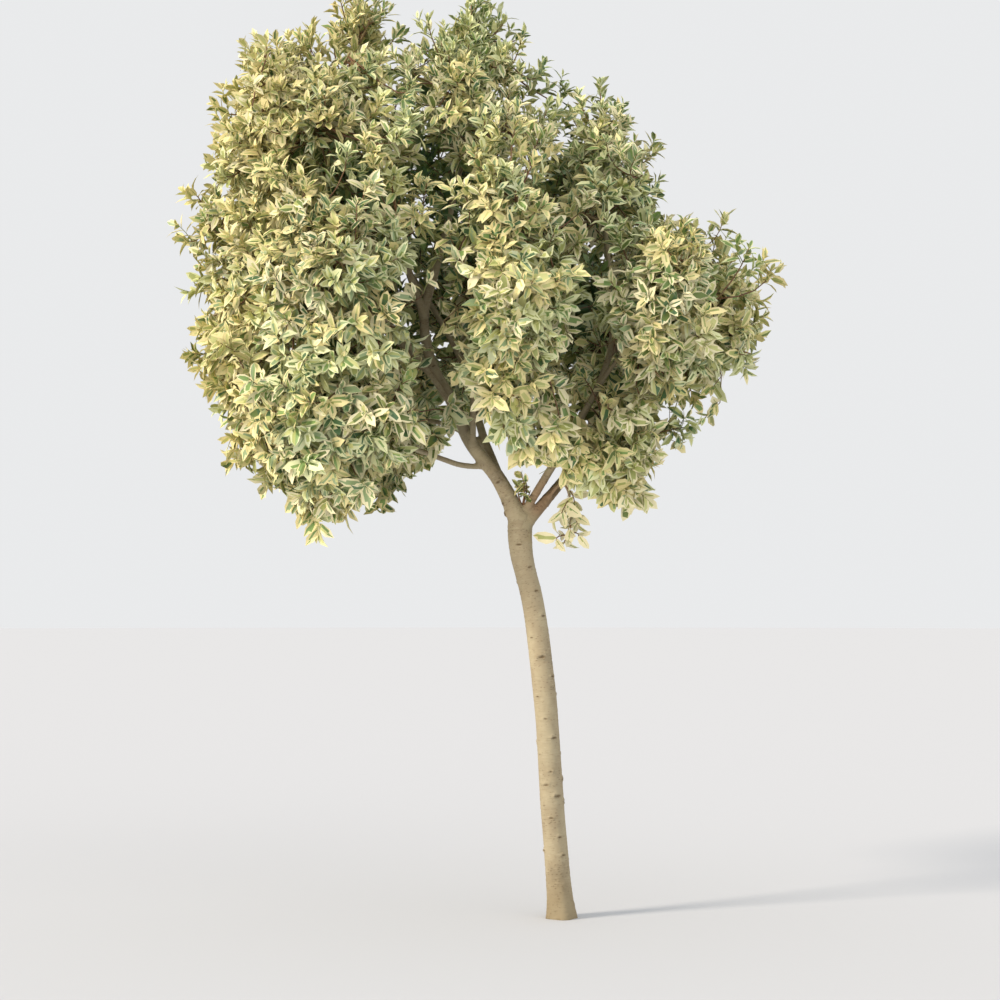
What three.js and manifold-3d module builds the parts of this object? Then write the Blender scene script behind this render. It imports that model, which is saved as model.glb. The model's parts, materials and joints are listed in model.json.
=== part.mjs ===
// A standard laurel: one bare, leaning trunk with a flared foot, a fork at waist height, tapering
// boughs and a broad, loosely clipped crown of variegated leaves, cut flat at ground level.
// Lengths are millimetres and +Z is up. The origin is the middle of the flat cut under the trunk,
// +X runs to the right of the plant as it is seen from the front, and the front faces -Y.
import * as THREE from "three";
import { mergeVertices } from "three/addons/utils/BufferGeometryUtils.js";
import Module from "manifold-3d";

const wasm = await Module();
wasm.setup();

// Driving dimensions
const forkHeight = 1040;
const forkLean = -108; // how far the fork stands to the left of the foot
const trunkRadius = 31;
const footRadius = 39; // of the root flare, where the trunk is cut at the ground
const footHeight = 150; // over which the flare fades
const crownMiddle = new THREE.Vector3(-205, 10, 1690);
const crownHalf = new THREE.Vector3(780, 625, 715); // half the crown's width, depth and height
const leafLength = 172; // each leaf stands for a small spray, so it is larger than life
const leafWidth = 76;
const leafThickness = 4;
const leafSizes = [1, 0.8, 0.65, 0.5]; // tried in turn where a larger one doesn't fit
const twigRadius = 5;
const sprayPatch = 300; // side of the square of a mass's surface that one leafy shoot covers
const leavesPerShoot = 5;
const fewestShoots = 4; // of a lobe, however small
const ringSpacing = 120; // along a bough
const seatGap = 0.3; // between a limb and what carries it
const foliageGap = 3; // between a limb and the leaves that it doesn't carry
const trunkRings = 19;
const trunkSides = 12;
const ringCrowding = 0.8; // how much closer the trunk's rings stand at its ends, from 0 to 1

// Shares of a mass's reach from its middle
const coreShare = 0.62; // where its dense inner part ends
const packedShare = 0.88; // where that ends on the side of another mass
const shootShare = 0.8; // where its shoots end
const shortestShoot = 0.64; // where one that is shortened to keep in the space may still end
const spaceShare = 1.14; // where the space that it keeps to itself ends
const spaceGap = 0.035; // left between its space and the next one
const innerShare = 0.45; // of the whole crown's reach, inside which no shoot ends

const up = new THREE.Vector3(0, 0, 1);
const goldenAngle = Math.PI * (3 - Math.sqrt(5)); // from each shoot of a mass to the next
const leafTurn = 0.8 * Math.PI; // from each leaf of a shoot to the next, two fifths of a turn

const bark = new THREE.MeshStandardMaterial({ name: "bark", color: 0xb7a27e, roughness: 0.85 });
const foliage = new THREE.MeshStandardMaterial({ name: "foliage", color: 0xc9c588, roughness: 0.6 });

// Masses of foliage. at and size are shares of crownHalf, from crownMiddle. A crest is a second,
// smaller lobe of the same mass, that stands out of its top or hangs under it.
const masses = [
  { name: "foliage_top_left_front", at: [-0.57, -0.32, 0.44], size: [0.35, 0.48, 0.4],
    crest: { at: [-0.4, -0.11, 0.81], size: [0.14, 0.22, 0.2] } },
  { name: "foliage_top_left_back", at: [-0.49, 0.45, 0.4], size: [0.37, 0.5, 0.44] },
  { name: "foliage_top_centre", at: [-0.04, -0.05, 0.52], size: [0.28, 0.54, 0.38],
    crest: { at: [-0.04, -0.05, 0.84], size: [0.13, 0.2, 0.17] } },
  { name: "foliage_left_side", at: [-0.75, -0.02, 0], size: [0.25, 0.58, 0.43] },
  { name: "foliage_left_front", at: [-0.44, -0.6, -0.12], size: [0.3, 0.38, 0.41] },
  { name: "foliage_low_left_front", at: [-0.48, -0.42, -0.59], size: [0.34, 0.45, 0.34] },
  { name: "foliage_low_left_back", at: [-0.47, 0.45, -0.52], size: [0.37, 0.5, 0.4] },
  { name: "foliage_front", at: [0.09, -0.6, -0.14], size: [0.23, 0.38, 0.5] },
  { name: "foliage_back", at: [0.02, 0.6, 0.01], size: [0.38, 0.4, 0.52] },
  { name: "foliage_top_right", at: [0.4, 0.02, 0.3], size: [0.2, 0.5, 0.31] },
  { name: "foliage_right_front", at: [0.57, -0.42, -0.22], size: [0.21, 0.4, 0.36] },
  { name: "foliage_right_tip", at: [0.76, 0.02, -0.17], size: [0.24, 0.46, 0.33] },
  { name: "foliage_right_back", at: [0.48, 0.52, -0.15], size: [0.3, 0.44, 0.4] },
  { name: "foliage_low_right", at: [0.44, -0.1, -0.62], size: [0.21, 0.38, 0.26] },
  { name: "foliage_hanging_sprig", at: [0.3, -0.05, -0.88], size: [0.055, 0.075, 0.09], bare: true,
    crest: { at: [0.28, -0.06, -1], size: [0.085, 0.1, 0.06] } },
];

// Boughs, each after the one that carries it. from is the share of its carrier's length where it
// leaves it, via holds the places that shape it, in the same shares as the masses, and it ends
// where it enters its mass.
const boughs = [
  { name: "bough_leader", parent: "trunk", from: 0.985, mass: "foliage_top_centre", radii: [22, 9],
    via: [[0.056, -0.03, -0.786], [-0.047, -0.035, -0.636], [-0.117, -0.04, -0.459],
      [-0.196, -0.04, -0.28], [-0.179, -0.04, -0.112], [-0.141, -0.03, 0.042]] },
  { name: "bough_right", parent: "trunk", from: 0.985, mass: "foliage_top_right", radii: [11.5, 7],
    via: [[0.196, -0.05, -0.804], [0.317, -0.12, -0.586], [0.373, -0.14, -0.477],
      [0.429, -0.1, -0.291]] },
  { name: "bough_low_right", parent: "trunk", from: 0.965, mass: "foliage_right_back",
    radii: [16, 8], via: [[0.22, 0.01, -0.85], [0.33, 0.14, -0.68]] },
  { name: "bough_back", parent: "bough_leader", from: 0.07, mass: "foliage_back", radii: [14, 8],
    via: [[0.03, 0.06, -0.7], [-0.02, 0.2, -0.5]] },
  { name: "bough_low_left", parent: "bough_leader", from: 0.12, mass: "foliage_low_left_front",
    radii: [8, 6], via: [[-0.06, -0.05, -0.735], [-0.165, -0.1, -0.7]] },
  { name: "bough_left", parent: "bough_leader", from: 0.42, mass: "foliage_left_side",
    radii: [11, 7], via: [[-0.35, -0.03, -0.22]] },
  { name: "bough_left_front", parent: "bough_leader", from: 0.34, mass: "foliage_left_front",
    radii: [9, 6], via: [[-0.25, -0.25, -0.3]] },
  { name: "bough_front", parent: "bough_leader", from: 0.24, mass: "foliage_front", radii: [9, 6],
    via: [[-0.02, -0.22, -0.42]] },
  { name: "bough_top_left", parent: "bough_leader", from: 0.62, mass: "foliage_top_left_front",
    radii: [11, 7], via: [[-0.28, -0.14, 0.05]] },
  { name: "bough_low_back", parent: "bough_back", from: 0.3, mass: "foliage_low_left_back",
    radii: [9, 6], via: [[-0.14, 0.22, -0.56]] },
  { name: "bough_top_back", parent: "bough_back", from: 0.66, mass: "foliage_top_left_back",
    radii: [10, 6], via: [[-0.18, 0.34, -0.1]] },
  { name: "bough_right_front", parent: "bough_right", from: 0.42, mass: "foliage_right_front",
    radii: [8, 5], via: [[0.42, -0.22, -0.4]] },
  { name: "bough_right_tip", parent: "bough_right", from: 0.6, mass: "foliage_right_tip",
    radii: [8, 5], via: [[0.52, -0.06, -0.25]] },
  { name: "bough_lowest", parent: "bough_low_right", from: 0.3, mass: "foliage_low_right",
    radii: [7, 5], via: [[0.31, 0, -0.76]] },
  { name: "bough_hanging_sprig", parent: "bough_low_right", from: 0.16, radii: [5, 4],
    mass: "foliage_hanging_sprig", via: [[0.27, -0.04, -0.8]] },
];

// A repeatable stream of numbers from 0 to 1.
function seededRandom(seed) {
  let state = seed;
  return () => {
    state = (state + 0x6d2b79f5) | 0;
    let mixed = Math.imul(state ^ (state >>> 15), 1 | state);
    mixed = (mixed + Math.imul(mixed ^ (mixed >>> 7), 61 | mixed)) ^ mixed;
    return ((mixed ^ (mixed >>> 14)) >>> 0) / 4294967296;
  };
}

// A closed geometry as a solid, with its shared corners merged.
function solidOf(geometry) {
  const bare = geometry.clone();
  bare.deleteAttribute("normal");
  bare.deleteAttribute("uv");
  const merged = mergeVertices(bare, 1e-4);
  return new wasm.Manifold(
    new wasm.Mesh({
      numProp: 3,
      vertProperties: new Float32Array(merged.attributes.position.array),
      triVerts: new Uint32Array(merged.index.array),
    }),
  );
}

// A solid as a named mesh that stands at its own place.
function meshOf(solid, name, place, material) {
  const { vertProperties, triVerts, numProp, numVert } = solid.getMesh();
  const positions = new Float32Array(numVert * 3);
  for (let i = 0; i < numVert; i++) {
    positions.set(vertProperties.subarray(i * numProp, i * numProp + 3), i * 3);
  }
  const geometry = new THREE.BufferGeometry();
  geometry.setAttribute("position", new THREE.BufferAttribute(positions, 3));
  geometry.setIndex(new THREE.BufferAttribute(new Uint32Array(triVerts), 1));
  geometry.translate(-place.x, -place.y, -place.z);
  geometry.computeVertexNormals();
  const mesh = new THREE.Mesh(geometry, material);
  mesh.name = name;
  mesh.position.copy(place);
  return mesh;
}

// A tapering limb: a unit cylinder bent along a curve. radiusAt gives its two half-widths there,
// and past is how far its last ring goes on past the curve. A level limb has horizontal rings,
// that stand closer at its two ends.
function limbGeometry(curve, rings, sides, radiusAt, { level = false, past = 0 } = {}) {
  const frames = curve.computeFrenetFrames(rings, false);
  const geometry = new THREE.CylinderGeometry(1, 1, 1, sides, rings);
  const corners = geometry.attributes.position;
  const corner = new THREE.Vector3();
  for (let i = 0; i < corners.count; i++) {
    corner.fromBufferAttribute(corners, i);
    const ring = Math.round((corner.y + 0.5) * rings);
    const even = ring / rings;
    const crowded = even - (ringCrowding * Math.sin(2 * Math.PI * even)) / (2 * Math.PI);
    const share = level ? crowded : even;
    const across = level ? new THREE.Vector3(1, 0, 0) : frames.normals[ring];
    const deep = level ? new THREE.Vector3(0, 1, 0) : frames.binormals[ring];
    const [wide, thick] = radiusAt(share, Math.atan2(-corner.z, corner.x));
    const place = curve.getPointAt(share);
    place.addScaledVector(across, corner.x * wide).addScaledVector(deep, -corner.z * thick);
    if (ring === rings) place.addScaledVector(frames.tangents[ring], past);
    corners.setXYZ(i, place.x, place.y, place.z);
  }
  return geometry;
}

// The trunk leans and sways to the left, swells under the fork and closes over it in a low dome.
const trunkCurve = new THREE.CatmullRomCurve3(
  [
    [0, 0],
    [0.22, 0.28],
    [0.38, 0.53],
    [0.68, 0.78],
    [0.95, 0.9],
    [1, 1],
  ].map(([lean, rise]) => new THREE.Vector3(lean * forkLean, 0, rise * forkHeight)),
);

function trunkRadiusAt(share, angle, extra) {
  const taper = trunkRadius * (1 - 0.08 * share);
  const flare = Math.exp((-share * forkHeight) / (footHeight / 3));
  const ribs = 1 + 0.09 * Math.sin(4 * angle + 0.7) * flare; // over the first roots
  const round = (taper + (footRadius - trunkRadius) * flare) * ribs;
  const swell = THREE.MathUtils.smoothstep(share, 0.84, 0.99); // where the boughs leave
  const domeFrom = 0.97;
  const rise = Math.max(0, share - domeFrom) / (1 - domeFrom);
  const dome = Math.sqrt(1 - 0.8 * rise ** 2);
  return [0.26, 0.1].map((wider) => (round * (1 + wider * swell) + extra) * dome);
}

function trunkSolid(extra) {
  const radiusAt = (share, angle) => trunkRadiusAt(share, angle, extra);
  const shape = { level: true, past: extra };
  return solidOf(limbGeometry(trunkCurve, trunkRings, trunkSides, radiusAt, shape));
}

// A place given in shares of the crown, in millimetres.
const placeInCrown = (shares) => new THREE.Vector3(...shares).multiply(crownHalf).add(crownMiddle);

masses.forEach((mass, number) => {
  mass.seed = number + 11;
  mass.lobes = [mass, mass.crest].filter(Boolean).map(({ at, size }) => ({
    middle: placeInCrown(at),
    reach: new THREE.Vector3(...size).multiply(crownHalf),
  }));
});

// The point of a lobe at a share of its reach in a direction, and the share at a point.
const pointIn = (lobe, outward, share) =>
  outward.clone().multiply(lobe.reach).multiplyScalar(share).add(lobe.middle);
const depthIn = (lobe, point) => point.clone().sub(lobe.middle).divide(lobe.reach).length();
const depthInMass = (mass, point) => Math.min(...mass.lobes.map((lobe) => depthIn(lobe, point)));

// Whether a point is in the space that a mass keeps to itself.
function inSpace(mass, point) {
  const own = depthInMass(mass, point);
  if (own > spaceShare) return false;
  return masses.every((other) => other === mass || depthInMass(other, point) > own + spaceGap);
}

// Whether no other mass lies just outside a lobe in a direction.
function facesOut(mass, lobe, outward) {
  const beyond = pointIn(lobe, outward, 1.1);
  return masses.every((other) => other === mass || depthInMass(other, beyond) > 1);
}

// Each limb runs from inside its carrier to the middle of its mass. The part outside the mass's
// core is the bough, and the rest, past a fine gap, is the stem inside the mass.
const limbs = new Map();

function growBough(bough) {
  const mass = masses.find((m) => m.name === bough.mass);
  const [lobe] = mass.lobes;
  const carrier = bough.parent === "trunk" ? trunkCurve : limbs.get(bough.parent).curve;
  const places = [carrier.getPointAt(bough.from), ...bough.via.map(placeInCrown), lobe.middle];
  const whole = new THREE.CatmullRomCurve3(places);
  const steps = 200;
  const inner = mass.bare ? 1 : coreShare; // a bare mass has no core
  let entry = 1;
  while (entry < steps && depthIn(lobe, whole.getPointAt(entry / steps)) > inner) entry += 1;
  const cut = entry / steps;
  const part = (from, to, count) =>
    Array.from({ length: count }, (_, i) => whole.getPointAt(from + ((to - from) * i) / (count - 1)));
  const [root, tip] = bough.radii;
  const curve = new THREE.CatmullRomCurve3(part(0, cut, 9));
  const radiusAt = (share, extra) => tip + (root - tip) * (1 - share) ** 1.3 + extra;
  const rings = Math.max(3, Math.round(curve.getLength() / ringSpacing));
  const sides = root > 12 ? 8 : 6;
  const make = (extra) => {
    const halfWidths = (share) => Array(2).fill(radiusAt(share, extra));
    return solidOf(limbGeometry(curve, rings, sides, halfWidths, { past: extra }));
  };
  const stemPoints = part(cut + seatGap / whole.getLength(), 1, 5);
  if (mass.crest) stemPoints.push(mass.lobes[1].middle);
  const stem = new THREE.CatmullRomCurve3(stemPoints);
  limbs.set(bough.name, { ...bough, mass, curve, make, stem });
}
boughs.forEach(growBough);

// Limbs are cut clear of the trunk and of the limbs grown before them.
let carried = trunkSolid(seatGap);
for (const limb of limbs.values()) {
  limb.solid = largestPart(limb.make(0).subtract(carried));
  carried = carried.add(limb.make(seatGap));
}

// The largest closed body of a solid, without scraps and sealed hollows.
function largestPart(solid) {
  const parts = solid.decompose();
  return parts.reduce((best, part) => (part.volume() > best.volume() ? part : best));
}

// A leaf: an eight-faced blade with its root at the origin, its tip along +X and its face up.
function leafGeometry(length) {
  const size = length / leafLength;
  const geometry = new THREE.OctahedronGeometry(1, 0);
  geometry.translate(1, 0, 0);
  geometry.scale(length / 2, (leafWidth * size) / 2, leafThickness / 2);
  const corners = geometry.attributes.position;
  for (let i = 0; i < corners.count; i++) {
    const along = corners.getX(i) / length;
    const broad = Math.abs(corners.getY(i)) > 1;
    corners.setZ(i, corners.getZ(i) + (broad ? 0.05 : -0.16 * along * along) * length);
    if (Math.abs(along - 0.5) < 0.1) corners.setX(i, 0.46 * length);
  }
  return geometry;
}

// The leafy shoots of a mass: evenly spread over each lobe where it faces out of the crown, each
// from the stem to the lobe's edge. One that would leave the mass's space is shortened.
function shootsOf(mass, stem) {
  const random = seededRandom(mass.seed);
  const shoots = [];
  mass.lobes.forEach((lobe, number) => {
    const { x, y, z } = lobe.reach;
    const area = 4 * Math.PI * ((x * y + y * z + z * x) / 3);
    const count = Math.max(fewestShoots, Math.round(area / sprayPatch ** 2));
    const turn = random() * 2 * Math.PI;
    for (let i = 0; i < count; i++) {
      const height = 1 - (2 * (i + 0.5)) / count;
      const angle = turn + i * goldenAngle;
      const level = Math.sqrt(1 - height * height);
      const outward = new THREE.Vector3(level * Math.cos(angle), level * Math.sin(angle), height);
      let reach = shootShare * (0.95 + 0.1 * random());
      while (reach > shortestShoot && !inSpace(mass, pointIn(lobe, outward, reach))) reach -= 0.03;
      const tip = pointIn(lobe, outward, reach);
      const inside = tip.clone().sub(crownMiddle).divide(crownHalf).length() < innerShare;
      if (inside || !facesOut(mass, lobe, outward) || !inSpace(mass, tip)) continue;
      const root = stem.getPointAt(number === 0 ? 0.45 + 0.25 * height : 0.92);
      const bend = root.clone().lerp(tip, 0.5);
      bend.addScaledVector(up, -0.08 * tip.distanceTo(root));
      shoots.push({ curve: new THREE.QuadraticBezierCurve3(root, bend, tip), outward, number: i });
    }
  });
  return shoots;
}

// Where the leaves of a shoot stand: in turn round its end, with the last one at its tip. Each
// spreads from the shoot with its face to the light.
function leafFrames(shoot) {
  const frames = [];
  for (let i = 0; i < leavesPerShoot; i++) {
    const last = i === leavesPerShoot - 1;
    const share = last ? 0.98 : 0.9 + (0.08 * i) / (leavesPerShoot - 1);
    const root = shoot.curve.getPointAt(share);
    const along = shoot.curve.getTangentAt(share);
    const side = up.clone().cross(along).normalize();
    const face = along.clone().cross(side);
    const turn = i * leafTurn + shoot.number;
    const spread = last ? 0.7 : 1.5;
    const axis = along.clone().addScaledVector(side, spread * Math.cos(turn));
    axis.addScaledVector(face, spread * Math.sin(turn)).normalize();
    const normal = along.clone().addScaledVector(up, 0.4);
    normal.addScaledVector(axis, -normal.dot(axis)).normalize();
    const across = normal.clone().cross(axis);
    frames.push(new THREE.Matrix4().makeBasis(axis, across, normal).setPosition(root));
  }
  return frames;
}

// Whether the corners and edge middles of a geometry are in a mass's space.
function fits(mass, geometry) {
  const corners = geometry.attributes.position;
  for (let i = 0; i < corners.count; i++) {
    const corner = new THREE.Vector3().fromBufferAttribute(corners, i);
    const next = new THREE.Vector3().fromBufferAttribute(corners, i % 3 === 2 ? i - 2 : i + 1);
    if (!inSpace(mass, corner) || !inSpace(mass, next.lerp(corner, 0.5))) return false;
  }
  return true;
}

// The dense inner part of a lobe: a ball with seeded lumps, drawn in at the edge of the space.
function coreSolid(mass, lobe, detail) {
  const random = seededRandom(mass.seed);
  const ball = new THREE.IcosahedronGeometry(1, detail);
  ball.deleteAttribute("normal");
  ball.deleteAttribute("uv");
  const geometry = mergeVertices(ball, 1e-4);
  const corners = geometry.attributes.position;
  for (let i = 0; i < corners.count; i++) {
    const outward = new THREE.Vector3().fromBufferAttribute(corners, i).normalize();
    const lump = 0.9 + 0.2 * random();
    const wanted = (facesOut(mass, lobe, outward) ? coreShare : packedShare) * lump;
    let share = 0.1;
    while (share < wanted && inSpace(mass, pointIn(lobe, outward, share + 0.02))) share += 0.01;
    corners.setXYZ(i, ...pointIn(lobe, outward, share));
  }
  return solidOf(geometry);
}

// One mass: its cores, its stem, its twigs and its leaves, fused.
function growMass(limb, limbsClear) {
  const { mass, stem } = limb;
  const tipRadius = limb.radii[1];
  const stemRadius = (share) => Array(2).fill(tipRadius * (1 - 0.6 * share));
  const stemSolid = solidOf(limbGeometry(stem, mass.crest ? 5 : 3, 5, stemRadius));
  const cores = mass.bare ? [] : mass.lobes.map((lobe, part) => coreSolid(mass, lobe, 2 - part));
  const pieces = cores.map((core) => core.subtract(limbsClear));
  pieces.push(stemSolid.subtract(limb.make(seatGap)));
  let taken = wasm.Manifold.union([limbsClear, ...pieces]);
  for (const shoot of shootsOf(mass, stem)) {
    const radius = mass.bare ? 0.6 * twigRadius : twigRadius;
    const thinning = (share) => Array(2).fill(radius * (1 - 0.5 * share));
    const twig = limbGeometry(shoot.curve, 2, 3, thinning);
    const twigSolid = solidOf(twig);
    if (!fits(mass, twig.toNonIndexed()) || !twigSolid.intersect(limbsClear).isEmpty()) continue;
    pieces.push(twigSolid);
    for (const frame of leafFrames(shoot)) {
      const sized = (share) => leafGeometry(leafLength * share).applyMatrix4(frame);
      const free = (blade) => fits(mass, blade) && solidOf(blade).intersect(taken).isEmpty();
      const leaf = leafSizes.map(sized).find(free);
      if (!leaf) continue;
      pieces.push(solidOf(leaf));
      taken = taken.add(solidOf(leaf));
    }
  }
  return largestPart(wasm.Manifold.union(pieces));
}

const plant = new THREE.Group();
plant.add(meshOf(trunkSolid(0), "trunk", new THREE.Vector3(), bark));
for (const limb of limbs.values()) {
  plant.add(meshOf(limb.solid, limb.name, limb.curve.getPointAt(0), bark));
}

const around = (limb) => limb.make(foliageGap);
const limbsClear = wasm.Manifold.union([trunkSolid(foliageGap), ...Array.from(limbs.values(), around)]);
for (const limb of limbs.values()) {
  plant.add(meshOf(growMass(limb, limbsClear), limb.mass.name, limb.mass.lobes[0].middle, foliage));
}

export default plant;
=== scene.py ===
# A standard laurel, rooted in the ground: a leaning trunk with smooth pale bark, a fork at waist
# height, and a broad crown of cream-edged leaves in sprays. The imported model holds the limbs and
# the space of each mass of foliage. The twigs and leaves here grow on from them by its own rule.
# Lengths are metres, +Z is up, and the front of the plant faces -Y.
import json
import math

import bpy
import numpy as np
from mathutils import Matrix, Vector, noise
from mathutils.kdtree import KDTree

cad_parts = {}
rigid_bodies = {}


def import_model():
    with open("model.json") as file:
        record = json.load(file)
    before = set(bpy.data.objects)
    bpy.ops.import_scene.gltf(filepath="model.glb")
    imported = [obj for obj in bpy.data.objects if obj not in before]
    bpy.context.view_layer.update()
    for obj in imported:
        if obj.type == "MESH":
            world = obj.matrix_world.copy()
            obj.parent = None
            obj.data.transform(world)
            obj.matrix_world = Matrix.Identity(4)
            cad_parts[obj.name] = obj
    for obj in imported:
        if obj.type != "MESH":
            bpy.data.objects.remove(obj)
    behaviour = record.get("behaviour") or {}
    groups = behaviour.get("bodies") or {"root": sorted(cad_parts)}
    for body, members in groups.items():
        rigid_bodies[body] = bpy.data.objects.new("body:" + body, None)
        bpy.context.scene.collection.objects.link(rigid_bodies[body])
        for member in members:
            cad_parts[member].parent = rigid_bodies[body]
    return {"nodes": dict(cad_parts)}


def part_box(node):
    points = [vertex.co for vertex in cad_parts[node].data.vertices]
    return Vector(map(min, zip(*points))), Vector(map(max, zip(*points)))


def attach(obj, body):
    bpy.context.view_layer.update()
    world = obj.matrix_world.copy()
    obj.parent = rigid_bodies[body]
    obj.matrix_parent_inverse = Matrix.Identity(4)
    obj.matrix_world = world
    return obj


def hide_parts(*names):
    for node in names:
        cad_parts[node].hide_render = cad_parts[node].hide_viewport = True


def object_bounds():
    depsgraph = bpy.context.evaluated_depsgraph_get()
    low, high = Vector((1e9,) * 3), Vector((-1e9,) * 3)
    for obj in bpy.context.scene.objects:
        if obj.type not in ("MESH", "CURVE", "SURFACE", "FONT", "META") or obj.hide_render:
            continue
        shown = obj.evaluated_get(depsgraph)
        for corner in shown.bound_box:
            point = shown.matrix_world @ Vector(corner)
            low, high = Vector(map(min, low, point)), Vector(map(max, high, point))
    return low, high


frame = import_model()

packedBox = [list(corner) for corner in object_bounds()]
print("packed model loaded with", len(frame["nodes"]), "nodes")


# The colours are sRGB hex values, and this turns one to the linear RGBA that a socket takes.
def linear(hexColour):
    channels = [int(hexColour[i:i + 2], 16) / 255 for i in (1, 3, 5)]
    return [c / 12.92 if c <= 0.04045 else ((c + 0.055) / 1.055) ** 2.4 for c in channels] + [1]


# Adds one node with its settings, the values of its inputs and the sockets linked to them.
def addNode(material, kind, inputs=None, links=None, **settings):
    node = material.node_tree.nodes.new(kind)
    for name, value in settings.items():
        setattr(node, name, value)
    for name, value in (inputs or {}).items():
        node.inputs[name].default_value = value
    for name, socket in (links or {}).items():
        material.node_tree.links.new(socket, node.inputs[name])
    return node


def newMaterial(name):
    material = bpy.data.materials.new(name)
    material.use_nodes = True
    return material, material.node_tree.nodes["Principled BSDF"]


# A material of one plain colour, with the values of its shader's other sockets.
def plainMaterial(name, colour, roughness, others=None):
    material, shader = newMaterial(name)
    values = {"Base Color": linear(colour), "Roughness": roughness, **(others or {})}
    for socket, value in values.items():
        shader.inputs[socket].default_value = value
    return material


def deselectAll():
    if bpy.context.mode != "OBJECT":
        bpy.ops.object.mode_set(mode="OBJECT")
    bpy.ops.object.select_all(action="DESELECT")


def unit(vectors):
    return vectors / np.maximum(np.linalg.norm(vectors, axis=-1, keepdims=True), 1e-12)


def howFar(points, place):
    return np.linalg.norm(points - place, axis=-1)


# The points, ready to be searched for the nearest ones.
def treeOf(points):
    tree = KDTree(len(points))
    for i, point in enumerate(points):
        tree.insert(point, i)
    tree.balance()
    return tree


up = np.array([0.0, 0.0, 1.0])


# The camera stands where the photograph was taken, a little under the crown's foot.
camera = {
    "place": (-0.1586, -5.2, 0.81),
    "aim": (-0.1586, 0, 1.0764),
    "lens": 72.1,  # on a sensor 36 mm wide
}


def addCamera():
    deselectAll()
    look = Vector(camera["aim"]) - Vector(camera["place"])
    turn = look.to_track_quat("-Z", "Y").to_euler()
    bpy.ops.object.camera_add(location=camera["place"], rotation=turn)
    made = bpy.context.object
    made.data.lens = camera["lens"]
    bpy.context.scene.camera = made


addCamera()


# How far along a line of points each of them is.
def lengthsAlong(points):
    return np.concatenate([[0], np.cumsum(howFar(points[1:], points[:-1]))])


# A curve that is read by its length. place gives its points at an array of times from 0 to 1.
class Route:
    def __init__(self, place):
        self.place = place
        self.times = np.linspace(0, 1, 201)
        self.reached = lengthsAlong(place(self.times))
        self.length = self.reached[-1]

    def timeAt(self, share):
        return np.atleast_1d(np.interp(np.asarray(share) * self.length, self.reached, self.times))

    def pointAt(self, share):
        points = self.place(self.timeAt(share))
        return points[0] if np.ndim(share) == 0 else points

    def tangentAt(self, share):
        time = self.timeAt(share)
        ahead = self.place(np.minimum(time + 1e-4, 1))
        tangents = unit(ahead - self.place(np.maximum(time - 1e-4, 0)))
        return tangents[0] if np.ndim(share) == 0 else tangents


# The smooth curve through a few points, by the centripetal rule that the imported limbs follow.
def splineThrough(points):
    points = np.asarray(points, float)
    spans = len(points) - 1
    ends = np.vstack([2 * points[0] - points[1], points, 2 * points[-1] - points[-2]])
    gaps = np.linalg.norm(np.diff(ends, axis=0), axis=1) ** 0.5
    rows = []
    for i in range(spans):
        before, start, end, after = ends[i:i + 4]
        g0, g1, g2 = gaps[i:i + 3]
        leave = ((start - before) / g0 - (end - before) / (g0 + g1) + (end - start) / g1) * g1
        arrive = ((end - start) / g1 - (after - start) / (g1 + g2) + (after - end) / g2) * g1
        square = -3 * start + 3 * end - 2 * leave - arrive
        rows.append([start, leave, square, 2 * start - 2 * end + leave + arrive])
    rows = np.array(rows)

    def place(times):
        at = np.clip(np.floor(times * spans), 0, spans - 1).astype(int)
        part = (times * spans - at)[:, None]
        c = rows[at]
        return c[:, 0] + part * (c[:, 1] + part * (c[:, 2] + part * c[:, 3]))

    return Route(place)


def bendThrough(start, control, end):
    def place(times):
        t = times[:, None]
        return start * (1 - t) ** 2 + 2 * control * t * (1 - t) + end * t ** 2

    return Route(place)


# A repeatable stream of numbers from 0 to 1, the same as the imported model's.
def seededRandom(seed):
    state = seed

    def draw():
        nonlocal state
        state = (state + 0x6D2B79F5) & 0xFFFFFFFF
        mixed = ((state ^ (state >> 15)) * (1 | state)) & 0xFFFFFFFF
        mixed = ((mixed + (mixed ^ (mixed >> 7)) * (61 | mixed)) & 0xFFFFFFFF) ^ mixed
        return (mixed ^ (mixed >> 14)) / 4294967296

    return draw


# The crown's middle and half its width, depth and height. Places inside it are shares of these.
crown = {
    "middle": np.array([-0.205, 0.010, 1.690]),
    "half": np.array([0.780, 0.625, 0.715]),
    "goldenAngle": math.pi * (3 - math.sqrt(5)),
    "coreShare": 0.62,  # of a mass's reach, where its bough ends
    "spaceShare": 1.14,  # where the space that it keeps to itself ends
    "spaceGap": 0.035,
    "shootShare": 0.8,
    "shortestShoot": 0.64,
    "innerShare": 0.45,  # of the crown's reach, inside which no main shoot ends
    "sprayPatch": 0.300,  # side of the square of a mass's surface that one main shoot covers
    "fewestShoots": 4,
    "facing": 1.1,  # of a lobe's reach, where no other mass may lie
    "shootRoot": (0.45, 0.25, 0.92),  # on the stem: level shoots, more for upright ones, a crest's
    "shootSag": 0.08,
    "shootUneven": (0.95, 0.1),  # least share of its length, and how much more it may be
    "shootStep": 0.03,  # by which one that leaves its mass's space is shortened
    "blend": 5,  # how tightly the crown's skin follows each mass: a small one fills the creases
    "closed": [  # spaces between the masses that leaves close, as place and size
        ([-0.27, -0.15, 0.25], [0.40, 0.62, 0.47]), ([0.26, 0.08, 0.10], [0.30, 0.66, 0.42]),
        ([-0.20, 0.35, 0.20], [0.40, 0.50, 0.48]), ([-0.70, -0.12, -0.38], [0.24, 0.42, 0.26]),
        ([-0.46, 0.40, -0.06], [0.34, 0.46, 0.40]),
    ],
}

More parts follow.
